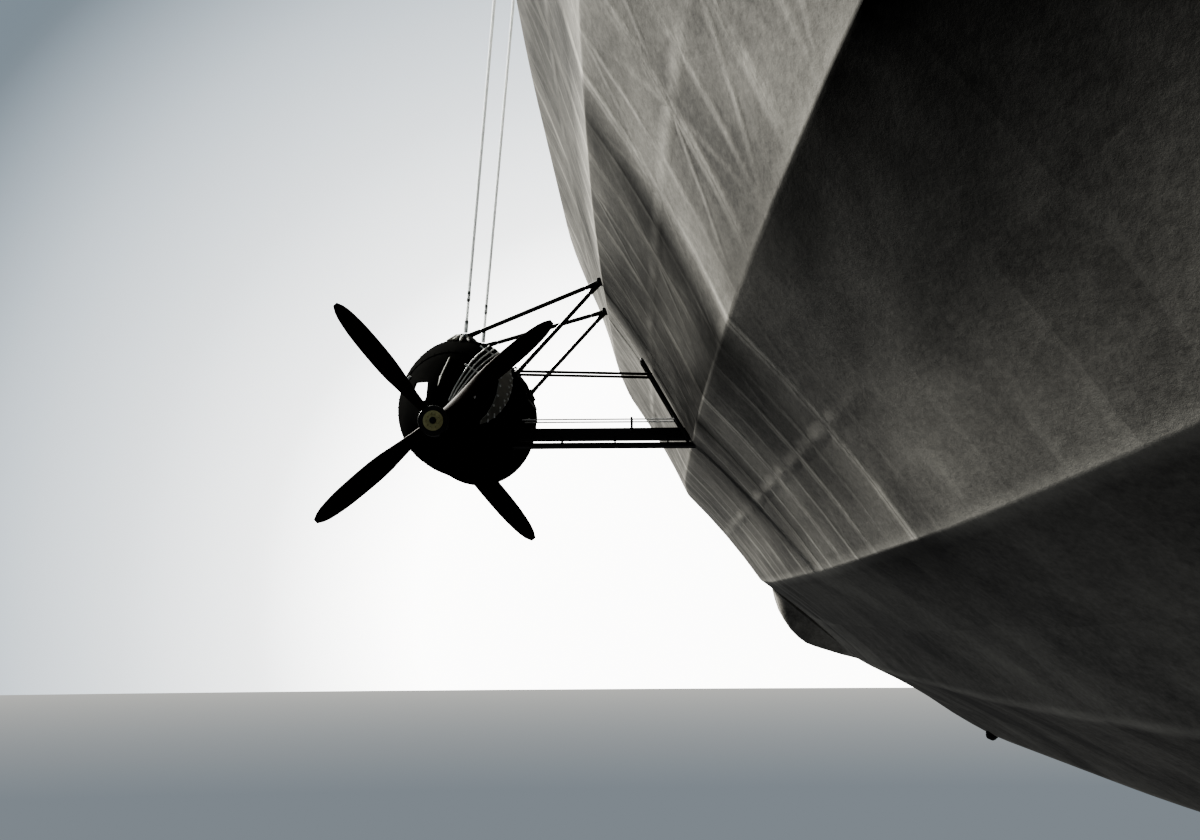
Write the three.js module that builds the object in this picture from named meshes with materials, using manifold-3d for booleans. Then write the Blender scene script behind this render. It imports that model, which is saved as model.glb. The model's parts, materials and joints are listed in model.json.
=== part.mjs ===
// Rigid airship of the 1930s, as a scale model at 1:10.
// Axes: +X forward to the nose, +Y to port, +Z up. The origin is on the hull's axis at the
// centre of buoyancy. Sizes below are real metres of the full-size ship, and M turns them
// into millimetres of the model. A station is the distance aft of the nose.
import * as THREE from 'three';
import { mergeVertices } from 'three/addons/utils/BufferGeometryUtils.js';
import Module from 'manifold-3d';

const wasm = await Module();
wasm.setup();

// Model millimetres for one real metre
const M = 100;
// Gap left where one piece rests on another, 0.3 mm on the model
const seat = 0.003;
// Gap round a pin or a shaft in its hole, 0.4 mm on the model
const running = 0.004;

// Hull
const shipLength = 245;
const originStation = 112;
const hullSides = 36;
const hullWall = 0.1;
// Radius of the hull's ridges by station
const hullLines = [
  [0, 0], [2.5, 4.55], [6, 7.2], [12, 10.25], [24.5, 14.4], [37, 17.1], [49, 18.85],
  [61, 19.9], [73.5, 20.4], [86, 20.6], [103, 20.6], [122.5, 20.4], [135, 20], [147, 19.25],
  [159, 18.25], [171.5, 16.9], [184, 15.15], [196, 13], [208, 10.5], [220.5, 7.6],
  [233, 4.3], [245, 0.12],
];
// Rings of the frame that carry a change of slope
const frames = [
  1, 3.5, 6.5, 12, 23, 34, 45, 59.5, 74, 89, 100, 116.5, 133, 148, 163, 177, 192, 207, 221, 232,
  238, 243,
];
// Envelope sections: name, first and last station
const hullSections = [
  ['hull_nose', 1, 12], ['hull_bow', 12, 45], ['hull_forward', 45, 89],
  ['hull_midship', 89, 133], ['hull_aft', 133, 177], ['hull_stern', 177, 221],
];
const tailSection = { from: 221, innerEnd: 238 };

// Window bays of the passenger deck, one on each side
const bay = { from: 57, full: 58.6, fullEnd: 70.4, to: 72, stand: 0.66 };

// Tail fins. Rows: radius, leading edge station, greatest thickness, trailing edge thickness
const finRows = [
  [4, 178, 3.9, 1.0], [13, 196, 3.4, 0.95], [18, 206.3, 2.1, 0.7], [20.5, 211.7, 1.2, 0.54],
  [21.3, 216, 0.7, 0.44],
];
const finTrailing = 226;
const hinge = { station: 226.56, inner: 6.4, outer: 21.1, pin: 0.06 };
// Rudders and elevators. Rows: radius, nose radius, trailing edge station
const flapRows = [[hinge.inner, 0.42, 232.4], [8, 0.41, 233.6], [19.4, 0.25, 233.6], [hinge.outer, 0.2, 231.6]];
const hingeArms = [9.5, 17.5];
const arm = { height: 0.3, width: 0.2, eye: 0.15, play: 0.06, notchDepth: 0.24 };

// Control car under the bow
const car = { top: -16.2, sill: -19.2, turn: -19.8, belly: -20.1, floor: -19.85, wall: 0.09 };
// Half of its plan: station, half width
const carPlan = [
  [34, 0.45], [34.5, 0.95], [35.4, 1.22], [36.9, 1.25], [38.4, 1.25], [39.9, 1.18],
  [41.4, 0.92], [43, 0.35],
];
const carWindow = { low: -19.12, high: -18.34, post: 0.13 };

// Engine cars. Rows: station aft of the nose, half width, half height, drift aft of the middle
const carRows = [
  [0, 0.7, 0.79, 0], [0.4, 0.95, 1.06, 0], [1.2, 1.17, 1.32, 0], [2.4, 1.27, 1.43, 0],
  [7.6, 1.25, 1.405, 0.12], [8.8, 1.09, 1.22, 0.38], [9.8, 0.72, 0.8, 0.78], [10.5, 0.27, 0.27, 1],
];
const engineCar = {
  nose: 92.3, sides: 16, wall: 0.1, hubDrift: [0.34, -0.57], hubStation: 10.75,
  nearRing: 100, farRing: 94.5, fromRoot: 4.71, aboveRoot: 0.79,
};
const shaft = { radius: 0.1, neck: 9.93 };
const engine = { from: 4.4, to: 7.2, width: 1.0, height: 1.4, feet: [4.7, 6.7], footWidth: 1.7 };
const engineMount = { offset: 0.1, drop: 0.12, footLength: 0.3, footHeight: 1.2, footDrop: 1.1 };
const radiator = { from: 0.5, to: 0.75 };
const door = { from: 6.55, to: 7.25, low: -0.5, high: 0.75 };
// Windows: distances aft of the car's nose, and heights above its middle.
// The long pair lights the mechanic's place beside the engine.
const sideWindow = { spans: [[1.5, 2.4], [2.8, 5.8]], up: 0.54, height: 0.48 };
// The rear pair looks aft, one on each side of the shaft
const rearWindow = { aft: 9.6, ports: [-0.33, 0.68], up: 0.08, reach: 1.6, width: 0.28, height: 0.4 };
const propeller = { radius: 3, hub: 0.3, hubLength: 0.4, startTurn: 50 };
// Propeller blade. Rows: radius, chord, thickness, twist in degrees from the disc
const bladeRows = [
  [0.2, 0.24, 0.2, 62], [0.7, 0.34, 0.15, 48], [1.4, 0.46, 0.1, 32], [2.2, 0.42, 0.06, 22],
  [2.8, 0.28, 0.035, 18], [3, 0.1, 0.02, 17],
];
// The struts and the stay of a ring meet in a socket over the car, on a post from its skin.
// Crown and shoulder are measured from the car's middle, and the inboard joint up a facet.
const strut = {
  tube: 0.045, stay: 0.028, plate: 0.3, lug: 0.21, post: 0.08,
  nearCrown: 1.37, farCrown: 1.72, shoulder: [-1.06, 0.57], facetShare: 0.055,
};
const deck = { from: 98.95, to: 99.5, top: 0.31, depth: 0.24, tube: 0.05, tubeDrop: 0.11 };
const rail = {
  stations: [98.83, 99.64], rope: 0.03, height: 1.4, guard: 0.47, frame: 0.05, frameTop: 2.0,
};

// Landing wheels. Track is the space between the twin tyres
const frontWheel = { station: 41.5, radius: 0.55, width: 0.26, track: 0.36, axle: 0.08, drop: 1.15 };
const tailWheel = { station: 221, radius: 0.5, width: 0.24, track: 0.34, axle: 0.08, drop: 0.75 };

// Materials
function finish(color, roughness, metalness) {
  return () => new THREE.MeshStandardMaterial({ color, roughness, metalness });
}
const dopedFabric = finish(0x9c9e9b, 0.62, 0.15);
const blackPaint = finish(0x1c1d1f, 0.45, 0.3);
const tubeSteel = finish(0x17181a, 0.5, 0.6);
const walnutBlade = finish(0x2e231c, 0.4, 0);
const castMetal = finish(0x55575a, 0.6, 0.8);
const rubber = finish(0x1b1b1b, 0.9, 0);
const paneGlass = finish(0x9fb4bd, 0.08, 0);

// Points

function place(station, port, up) {
  return new THREE.Vector3((originStation - station) * M, port * M, up * M);
}

function polar(station, radius, degrees) {
  const a = THREE.MathUtils.degToRad(degrees);
  return place(station, radius * Math.cos(a), radius * Math.sin(a));
}

function between(rows, key, column) {
  const after = rows.findIndex((row) => row[0] >= key);
  const i = after < 0 ? rows.length - 1 : Math.max(after, 1);
  const t = (key - rows[i - 1][0]) / (rows[i][0] - rows[i - 1][0]);
  return THREE.MathUtils.lerp(rows[i - 1][column], rows[i][column], t);
}

// Hull radius at a station: a smooth curve through hullLines that never overshoots
function hullRadius(station) {
  const rows = hullLines;
  const slope = (i) => (rows[i + 1][1] - rows[i][1]) / (rows[i + 1][0] - rows[i][0]);
  const tangent = (i) => {
    if (i === 0) return slope(0);
    if (i === rows.length - 1) return slope(i - 1);
    const [a, b] = [slope(i - 1), slope(i)];
    return a * b <= 0 ? 0 : (2 * a * b) / (a + b);
  };
  const next = Math.max(1, rows.findIndex((row) => row[0] >= station));
  const [x0, y0] = rows[next - 1];
  const [x1, y1] = rows[next];
  const t = (station - x0) / (x1 - x0);
  const w = x1 - x0;
  return y0 * (2 * t ** 3 - 3 * t ** 2 + 1) + tangent(next - 1) * w * (t ** 3 - 2 * t ** 2 + t)
    + y1 * (3 * t ** 2 - 2 * t ** 3) + tangent(next) * w * (t ** 3 - t ** 2);
}

// Hull radius on the straight run between two frames, as the solids have it
function frameRadius(station) {
  const i = Math.max(1, frames.findIndex((s) => s >= station));
  const t = (station - frames[i - 1]) / (frames[i] - frames[i - 1]);
  return THREE.MathUtils.lerp(hullRadius(frames[i - 1]), hullRadius(frames[i]), t);
}

function hullRing(station, radius) {
  const ridge = 360 / hullSides;
  return Array.from({ length: hullSides }, (_, i) => polar(station, radius, ridge * (i + 0.5)));
}

function circle(centre, across, up, sides) {
  return Array.from({ length: sides }, (_, i) => {
    const a = (2 * Math.PI * (i + 0.5)) / sides;
    return centre.clone().addScaledVector(across, Math.cos(a)).addScaledVector(up, Math.sin(a));
  });
}

// Solids

function signedVolume(points, faces) {
  let sum = 0;
  for (const [a, b, c] of faces) {
    sum += points[a].dot(new THREE.Vector3().crossVectors(points[b], points[c]));
  }
  return sum;
}

// A skin over rings of points. It closes on itself, or has a flat end at each end.
function loft(rings, closesOnItself = false) {
  const n = rings[0].length;
  const points = rings.flat().map((p) => p.clone());
  const faces = [];
  const spans = closesOnItself ? rings.length : rings.length - 1;
  for (let r = 0; r < spans; r += 1) {
    const here = r * n;
    const there = ((r + 1) % rings.length) * n;
    for (let i = 0; i < n; i += 1) {
      const j = (i + 1) % n;
      faces.push([here + i, here + j, there + j], [here + i, there + j, there + i]);
    }
  }
  if (!closesOnItself) {
    const last = (rings.length - 1) * n;
    for (let i = 1; i < n - 1; i += 1) {
      faces.push([0, i + 1, i], [last, last + i, last + i + 1]);
    }
  }
  if (signedVolume(points, faces) < 0) faces.forEach((f) => f.reverse());
  const geometry = new THREE.BufferGeometry();
  geometry.setAttribute('position', new THREE.Float32BufferAttribute(points.flatMap((p) => p.toArray()), 3));
  geometry.setIndex(faces.flat());
  return geometry;
}

function box(station, port, up, length, width, height) {
  const geometry = new THREE.BoxGeometry(length * M, width * M, height * M);
  return geometry.translate(...place(station, port, up).toArray());
}

function rod(from, to, radius, sides = 6) {
  const along = new THREE.Vector3().subVectors(to, from);
  const geometry = new THREE.CylinderGeometry(radius * M, radius * M, along.length(), sides);
  const turn = new THREE.Quaternion().setFromUnitVectors(new THREE.Vector3(0, 1, 0), along.normalize());
  geometry.applyQuaternion(turn);
  return geometry.translate(...from.clone().add(to).multiplyScalar(0.5).toArray());
}

function toManifold(geometry) {
  const bare = geometry.clone();
  bare.deleteAttribute('normal');
  bare.deleteAttribute('uv');
  const merged = mergeVertices(bare);
  return new wasm.Manifold(new wasm.Mesh({
    numProp: 3,
    vertProperties: new Float32Array(merged.attributes.position.array),
    triVerts: new Uint32Array(merged.index.array),
  }));
}

function fromManifold(solid) {
  const mesh = solid.getMesh();
  const geometry = new THREE.BufferGeometry();
  geometry.setAttribute('position', new THREE.BufferAttribute(new Float32Array(mesh.vertProperties), 3));
  geometry.setIndex(new THREE.BufferAttribute(new Uint32Array(mesh.triVerts), 1));
  return geometry;
}

// Joins the geometries in one list and cuts away those in the other
function carve(joined, cutAway = []) {
  let solid = joined.map(toManifold).reduce((a, b) => a.add(b));
  for (const cutter of cutAway) solid = solid.subtract(toManifold(cutter));
  return fromManifold(solid);
}

function common(a, b) {
  return fromManifold(toManifold(a).intersect(toManifold(b)));
}

const ship = new THREE.Group();

function add(name, geometry, material) {
  const mesh = new THREE.Mesh(geometry, material());
  mesh.name = name;
  ship.add(mesh);
  return mesh;
}

// Hull

function framesBetween(from, to) {
  return frames.filter((s) => s > from && s < to);
}

// The outer skin of a run of hull as a full solid, grown outwards by a small amount
function hullBlock(from, to, grow) {
  const stations = [from, ...framesBetween(from, to), to];
  return loft(stations.map((s) => hullRing(s, frameRadius(s) + grow)));
}

function hullShell(from, to) {
  const half = seat / 2;
  const stations = [from + half, ...framesBetween(from, to), to - half];
  const outer = stations.map((s) => hullRing(s, frameRadius(s)));
  const inner = stations.map((s) => hullRing(s, frameRadius(s) - hullWall));
  return loft([...outer, ...inner.reverse()], true);
}

// One window bay: it rises steeply below the ridge at -45 degrees and runs out at -56
function windowBay(side) {
  const section = (station, stand) => {
    const r = frameRadius(station);
    const flat = r * Math.cos(Math.PI / hullSides) - hullWall / 2;
    const corners = [
      [-46.6, flat + 0.02], [-47, r - 0.03 + 0.1 * stand], [-49.6, r - 0.05 + 0.9 * stand],
      [-51.2, r - 0.05 + 1.0 * stand], [-56.4, r - 0.02], [-56.4, r - hullWall * 0.7], [-51, flat],
    ];
    return corners.map(([a, radius]) => polar(station, radius, side > 0 ? a : 180 - a));
  };
  const { from, full, fullEnd, to, stand } = bay;
  return loft([section(from, 0), section(full, stand), section(fullEnd, stand), section(to, 0)]);
}

function buildHull() {
  for (const [name, from, to] of hullSections) {
    const shell = hullShell(from, to);
    const withBays = name === 'hull_forward' ? carve([shell, windowBay(1), windowBay(-1)]) : shell;
    add(name, withBays, dopedFabric);
  }
  const { from, innerEnd } = tailSection;
  const start = from + seat / 2;
  const inner = [innerEnd, 232, start].map((s) => hullRing(s, frameRadius(s) - hullWall));
  const outer = [start, 232, 238, 243].map((s) => hullRing(s, frameRadius(s)));
  const tip = hullRing(shipLength, hullRadius(shipLength));
  add('hull_tail', loft([...inner, ...outer, tip]), dopedFabric);
}

// Bow cap with the spindle that a mooring mast takes
function buildBowCap() {
  const back = frames[0] - seat;
  const rim = hullRadius(frames[0]);
  const outline = [
    [0, back], [rim - 0.01, back], [rim * 0.75, 0.42], [0.75, -0.05], [0.36, -0.15], [0.28, -1.1],
    [0, -1.1],
  ];
  const points = outline.map(([r, s]) => new THREE.Vector2(r * M, -s * M));
  const geometry = new THREE.LatheGeometry(points, hullSides);
  geometry.rotateZ(-Math.PI / 2);
  add('bow_cap', geometry.translate(originStation * M, 0, 0), blackPaint);
}

// Tail surfaces, drawn upright above the hull and then turned about its axis

function finRing([radius, leading, thick, trailing]) {
  const chord = finTrailing - leading;
  const outline = [[0, 0.04], [0.03, 0.42], [0.15, 0.85], [0.42, 1]];
  const half = outline.map(([t, w]) => [leading + t * chord, (w * thick) / 2]);
  half.push([finTrailing, trailing / 2]);
  const upper = half.map(([s, y]) => place(s, y, radius));
  const lower = half.map(([s, y]) => place(s, -y, radius)).reverse();
  return [...upper, ...lower];
}

function flapRing([radius, nose, trailing]) {
  const arc = [100, 135, 165, 195, 225, 260].map((degrees) => {
    const a = THREE.MathUtils.degToRad(degrees);
    return place(hinge.station + nose * Math.cos(a), nose * Math.sin(a), radius);
  });
  const edge = 0.05;
  return [...arc, place(trailing, -edge, radius), place(trailing, edge, radius)];
}

function hingeArm(radius, grow) {
  const start = finTrailing - 0.3;
  const eye = arm.eye + grow;
  const height = arm.height + 2 * grow;
  const web = box((start + hinge.station) / 2, 0, radius, hinge.station - start, arm.width, height);
  const bottom = place(hinge.station, 0, radius - height / 2);
  const top = place(hinge.station, 0, radius + height / 2);
  return [web, rod(bottom, top, eye, 12)];
}

function hingePin(radius, grow, reach) {
  const bottom = place(hinge.station, 0, radius - reach);
  const top = place(hinge.station, 0, radius + reach);
  return rod(bottom, top, hinge.pin + grow, 12);
}

function buildTailSurface(fixedName, movingName, degrees, hullCutter) {
  const turn = THREE.MathUtils.degToRad(degrees);
  const arms = hingeArms.flatMap((r) => hingeArm(r, 0));
  const holes = hingeArms.map((r) => hingePin(r, running, arm.height));
  const fin = carve([loft(finRows.map(finRing)), ...arms], [...holes, hullCutter.clone().rotateX(-turn)]);
  add(fixedName, fin.rotateX(turn), dopedFabric);

  const notches = hingeArms.map((r) => {
    const length = 1;
    const height = arm.height + 2 * arm.play;
    return box(hinge.station + arm.notchDepth - length / 2, 0, r, length, 2, height);
  });
  const pins = hingeArms.map((r) => hingePin(r, 0, arm.height / 2 + 0.3));
  const cut = carve([loft(flapRows.map(flapRing))], notches);
  add(movingName, carve([cut, ...pins]).rotateX(turn), dopedFabric);
}

function buildTail() {
  const hullCutter = hullBlock(166, 243, seat);
  buildTailSurface('fin_upper', 'rudder_upper', 0, hullCutter);
  buildTailSurface('fin_lower', 'rudder_lower', 180, hullCutter);
  buildTailSurface('fin_port', 'elevator_port', -90, hullCutter);
  buildTailSurface('fin_starboard', 'elevator_starboard', 90, hullCutter);
}

// Control car

function inset(plan, distance) {
  const n = plan.length;
  return plan.map((_, i) => {
    const [a, b, c] = [plan[(i + n - 1) % n], plan[i], plan[(i + 1) % n]];
    const u = new THREE.Vector2(b[0] - a[0], b[1] - a[1]).normalize();
    const v = new THREE.Vector2(c[0] - b[0], c[1] - b[1]).normalize();
    const inward = new THREE.Vector2(-u.y - v.y, u.x + v.x).normalize();
    const step = distance / inward.dot(new THREE.Vector2(-u.y, u.x));
    return [b[0] + inward.x * step, b[1] + inward.y * step];
  });
}

function level(plan, up) {
  return plan.map(([s, y]) => place(s, y, up));
}

function paneCutter(a, b) {
  const edge = new THREE.Vector2(b[0] - a[0], b[1] - a[1]);
  const along = edge.clone().normalize();
  const out = new THREE.Vector2(along.y, -along.x);
  const half = edge.length() / 2 - carWindow.post / 2;
  const middle = [(a[0] + b[0]) / 2, (a[1] + b[1]) / 2];
  const reach = 0.14;
  const corners = [[-half, -reach], [half, -reach], [half, reach], [-half, reach]].map(([t, o]) => [
    middle[0] + along.x * t + out.x * o, middle[1] + along.y * t + out.y * o,
  ]);
  return loft([level(corners, carWindow.low), level(corners, carWindow.high)]);
}

function buildControlCar() {
  // The plan runs round the car, so that its inside is on the left
  const plan = [...carPlan.map(([s, y]) => [s, -y]), ...carPlan.map(([s, y]) => [s, y]).reverse()];
  const inner = inset(plan, car.wall);
  const middle = 38.3;
  const shrink = (list, k) => list.map(([s, y]) => [middle + (s - middle) * (k + 0.12), y * k]);
  const skin = loft([
    level(inner, car.floor), level(inner, car.top), level(plan, car.top), level(plan, car.sill),
    level(shrink(plan, 0.84), car.turn), level(shrink(plan, 0.6), car.belly),
  ]);
  const panes = plan.map((a, i) => [a, plan[(i + 1) % plan.length]])
    .filter(([a, b]) => Math.hypot(a[0] - b[0], a[1] - b[1]) > 0.5)
    .map(([a, b]) => paneCutter(a, b));
  const hullCutter = hullBlock(23, 56, seat);
  add('control_car', carve([skin], [hullCutter, ...panes]), blackPaint);

  const glassOut = inset(plan, car.wall + seat);
  const glassIn = inset(plan, car.wall + seat + 0.03);
  const [low, high] = [carWindow.low - 0.08, carWindow.high + 0.08];
  const band = loft([level(glassOut, low), level(glassOut, high), level(glassIn, high), level(glassIn, low)], true);
  add('control_car_glazing', band, paneGlass);

  const rimRadius = 0.32;
  const helms = [['rudder_helm', 35.6, 0, 0], ['elevator_helm', 37, 0.72, Math.PI / 2]];
  for (const [name, station, port, turn] of helms) {
    const foot = car.floor + seat;
    const top = foot + 0.95;
    const centre = place(station, port, top);
    const rim = new THREE.TorusGeometry(rimRadius * M, 0.03 * M, 5, 14).rotateY(Math.PI / 2);
    const spokes = [0, 1, 2].map((i) => {
      const a = (i * Math.PI) / 3;
      const tip = new THREE.Vector3(0, Math.cos(a), Math.sin(a)).multiplyScalar(rimRadius * M);
      return rod(tip.clone().negate(), tip, 0.02, 4);
    });
    const axle = rod(new THREE.Vector3(0.06 * M, 0, 0), new THREE.Vector3(-0.3 * M, 0, 0), 0.04, 6);
    const wheel = [rim, ...spokes, axle].map((g) => g.rotateZ(turn).translate(...centre.toArray()));
    const behind = new THREE.Vector3(-0.22 * M, 0, 0).applyAxisAngle(new THREE.Vector3(0, 0, 1), turn);
    const post = new THREE.BoxGeometry(0.2 * M, 0.2 * M, 1.02 * M);
    post.translate(centre.x + behind.x, centre.y + behind.y, (foot + 0.51) * M);
    add(name, carve([...wheel, post]), castMetal);
  }
}

// Landing wheels

function buildWheel(legName, wheelName, wheel, seatUp) {
  const { station, radius, width, track, axle, drop } = wheel;
  const up = seatUp - drop;
  const across = (y) => place(station, y, up);
  const eyeHalf = track / 2 - 0.05;
  const leg = rod(place(station, 0, up), place(station, 0, seatUp - seat), 0.11, 12);
  const eye = rod(across(-eyeHalf), across(eyeHalf), 0.17, 12);
  const foot = box(station, 0, seatUp - seat - 0.04, 0.42, 0.42, 0.08);
  const hole = rod(across(-1), across(1), axle + running, 12);
  add(legName, carve([leg, eye, foot], [hole]), tubeSteel);

  const outline = [
    [0, -0.5], [0.4, -0.5], [0.58, -0.36], [0.8, -0.5], [1, -0.2], [1, 0.2], [0.8, 0.5],
    [0.58, 0.36], [0.4, 0.5], [0, 0.5],
  ].map(([r, w]) => new THREE.Vector2(r * radius * M, w * width * M));
  const tyres = [-1, 1].map((side) => {
    const centre = across((side * (track + width)) / 2);
    return new THREE.LatheGeometry(outline, 16).translate(...centre.toArray());
  });
  const bar = rod(across(-track / 2 - 0.1), across(track / 2 + 0.1), axle, 12);
  add(wheelName, carve([...tyres, bar]), rubber);
}

// Engine cars

// What one car hangs from: side is 1 to port and -1 to starboard, and shift moves it aft
function carFrame(side, shift, rootRidge) {
  const near = engineCar.nearRing + shift;
  const far = engineCar.farRing + shift;
  const ridge = (station, degrees) => {
    const a = THREE.MathUtils.degToRad(degrees);
    const r = frameRadius(station);
    return [r * Math.cos(a), r * Math.sin(a)];
  };
  const root = ridge(near, rootRidge);
  const middle = [root[0] + engineCar.fromRoot, root[1] + engineCar.aboveRoot];
  const hub = [middle[0] + engineCar.hubDrift[0], middle[1] + engineCar.hubDrift[1]];
  const point = (station, y, z) => place(station, side * y, z);
  return { side, shift, near, far, ridge, rootRidge, root, middle, hub, point };
}

// The rings of a car's skin. Inset is the distance in from the outer surface.
function carRings(frame, rows, depth) {
  return rows.map(([aft, wide, high, drift]) => {
    const [dy, dz] = engineCar.hubDrift;
    const station = engineCar.nose + frame.shift + aft;
    const centre = frame.point(station, frame.middle[0] + drift * dy, frame.middle[1] + drift * dz);
    const across = new THREE.Vector3(0, (wide - depth) * M, 0);
    const up = new THREE.Vector3(0, 0, (high - depth) * M);
    return circle(centre, across, up, engineCar.sides);
  });
}

function rowAt(aft) {
  return [aft, ...[1, 2, 3].map((column) => between(carRows, aft, column))];
}

function carBlock(frame, grow) {
  return loft(carRings(frame, carRows, -grow));
}

function carCavity(frame, shrink) {
  const rows = [rowAt(0.3), ...carRows.filter((row) => row[0] > 0.3 && row[0] < shaft.neck), rowAt(shaft.neck)];
  return loft(carRings(frame, rows, engineCar.wall + shrink));
}

function buildCarShell(name, frame) {
  const { point, middle, shift } = frame;
  const station = (aft) => engineCar.nose + shift + aft;
  const shaftHole = [shaft.neck - 0.2, 10.8].map((aft) => point(station(aft), frame.hub[0], frame.hub[1]));
  const mouth = carRings(frame, [carRows[0], rowAt(0.35)], engineCar.wall);
  const mouthStart = carRings(frame, [[-0.2, ...carRows[0].slice(1)]], engineCar.wall);
  const wide = 2 * (carRows[3][1] + 0.3);
  const sideWindows = sideWindow.spans.map(([from, to]) => box(
    station((from + to) / 2), frame.side * middle[0], middle[1] + sideWindow.up,
    to - from, wide, sideWindow.height,
  ));
  const rearWindows = rearWindow.ports.map((port) => box(
    station(rearWindow.aft), frame.side * (middle[0] + port), middle[1] + rearWindow.up,
    rearWindow.reach, rearWindow.width, rearWindow.height,
  ));
  const doorway = box(
    station((door.from + door.to) / 2), frame.side * (middle[0] - 1.3), middle[1] + (door.low + door.high) / 2,
    door.to - door.from, 0.9, door.high - door.low,
  );
  const cuts = [
    carCavity(frame, 0), loft([...mouthStart, ...mouth]), rod(...shaftHole, shaft.radius + running, 12),
    ...sideWindows, ...rearWindows, doorway,
  ];
  add(`${name}_shell`, carve([carBlock(frame, 0)], cuts), blackPaint);
}

function buildEngine(name, frame) {
  const { middle, shift, side } = frame;
  const station = (aft) => engineCar.nose + shift + aft;
  const [from, to] = [engine.from, engine.to];
  const mount = engineMount;
  const block = box(
    station((from + to) / 2), side * (middle[0] + mount.offset), middle[1] - mount.drop,
    to - from, engine.width, engine.height,
  );
  const feet = engine.feet.map((aft) => box(
    station(aft), side * middle[0], middle[1] - mount.footDrop,
    mount.footLength, engine.footWidth, mount.footHeight,
  ));
  add(`${name}_engine`, common(carve([block, ...feet]), carCavity(frame, seat)), castMetal);
  const core = loft(carRings(frame, [rowAt(radiator.from), rowAt(radiator.to)], -0.2));
  add(`${name}_radiator`, common(core, carCavity(frame, seat)), castMetal);
}

function bladeRing([radius, chord, thick, twist]) {
  const outline = [[-0.5, 0], [-0.25, 0.4], [0.15, 0.5], [0.5, 0], [0.15, -0.35], [-0.25, -0.25]];
  const a = THREE.MathUtils.degToRad(twist);
  return outline.map(([c, t]) => {
    const [u, v] = [c * chord, t * thick];
    const alongDisc = u * Math.cos(a) - v * Math.sin(a);
    const alongShaft = u * Math.sin(a) + v * Math.cos(a);
    return new THREE.Vector3(alongShaft * M, alongDisc * M, radius * M);
  });
}

function buildPropeller(name, frame) {
  const hub = frame.point(engineCar.nose + frame.shift + engineCar.hubStation, frame.hub[0], frame.hub[1]);
  const along = (x) => new THREE.Vector3(x * M, 0, 0);
  const back = -propeller.hubLength / 2;
  const shaftEnd = engineCar.hubStation - engine.to - seat;
  const pieces = [
    rod(along(back), along(-back), propeller.hub, 12),
    rod(along(0), along(shaftEnd), shaft.radius, 12),
    rod(along(back - 0.12), along(0), 0.2, 12),
  ];
  for (let i = 0; i < 4; i += 1) {
    const turn = THREE.MathUtils.degToRad(propeller.startTurn + 90 * i);
    pieces.push(loft(bladeRows.map(bladeRing)).rotateX(turn));
  }
  add(`${name}_propeller`, carve(pieces).translate(...hub.toArray()), walnutBlade);
}

// Stay, upper strut and diagonal at one ring, joined at their brackets
function buildOutrigger(name, frame, station, cutters) {
  const { point, middle, ridge, rootRidge } = frame;
  const lug = (p, size) => new THREE.BoxGeometry(size * M, size * M, size * M).translate(...p.toArray());
  const top = point(station, ...ridge(station, rootRidge + 40));
  const [lower, upper] = [10, 20].map((turn) => ridge(station, rootRidge + turn));
  const inboard = point(station, ...[0, 1].map((i) => THREE.MathUtils.lerp(lower[i], upper[i], strut.facetShare)));
  const crownUp = middle[1] + (station === frame.near ? strut.nearCrown : strut.farCrown);
  const crown = point(station, middle[0] - 0.05, crownUp);
  const postFoot = point(station, middle[0] - 0.05, middle[1] + 1);
  const shoulder = point(station, middle[0] + strut.shoulder[0], middle[1] + strut.shoulder[1]);
  const pieces = [
    rod(top, crown, strut.stay), rod(inboard, crown, strut.tube), rod(inboard, shoulder, strut.tube),
    rod(postFoot, crown, strut.post), lug(top, strut.lug), lug(inboard, strut.plate), lug(crown, strut.lug),
    lug(shoulder, strut.plate),
  ];
  add(name, carve(pieces, cutters), tubeSteel);
}

function buildCatwalk(name, frame, cutters) {
  const { point, root, middle, side, shift } = frame;
  const [from, to] = [deck.from + shift, deck.to + shift];
  const centre = (from + to) / 2;
  const [inner, outer] = [root[0] - 1, middle[0] - 0.9];
  const topUp = root[1] + deck.top;
  const slab = box(centre, (side * (inner + outer)) / 2, topUp - deck.depth / 2, to - from, outer - inner, deck.depth);
  const tubeUp = topUp - deck.depth - deck.tubeDrop;
  const tubes = [from + 0.06, to - 0.06].map((s) => rod(point(s, inner, tubeUp), point(s, outer, tubeUp), deck.tube));
  const hangers = [0.5, 1.6, 2.7].flatMap((y) => [from + 0.06, to - 0.06].map((s) => box(
    s, side * (root[0] + y), topUp - deck.depth, 0.07, 0.07, 2 * deck.tubeDrop,
  )));
  add(`${name}_catwalk`, carve([slab, ...tubes, ...hangers], cutters), tubeSteel);
}

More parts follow.
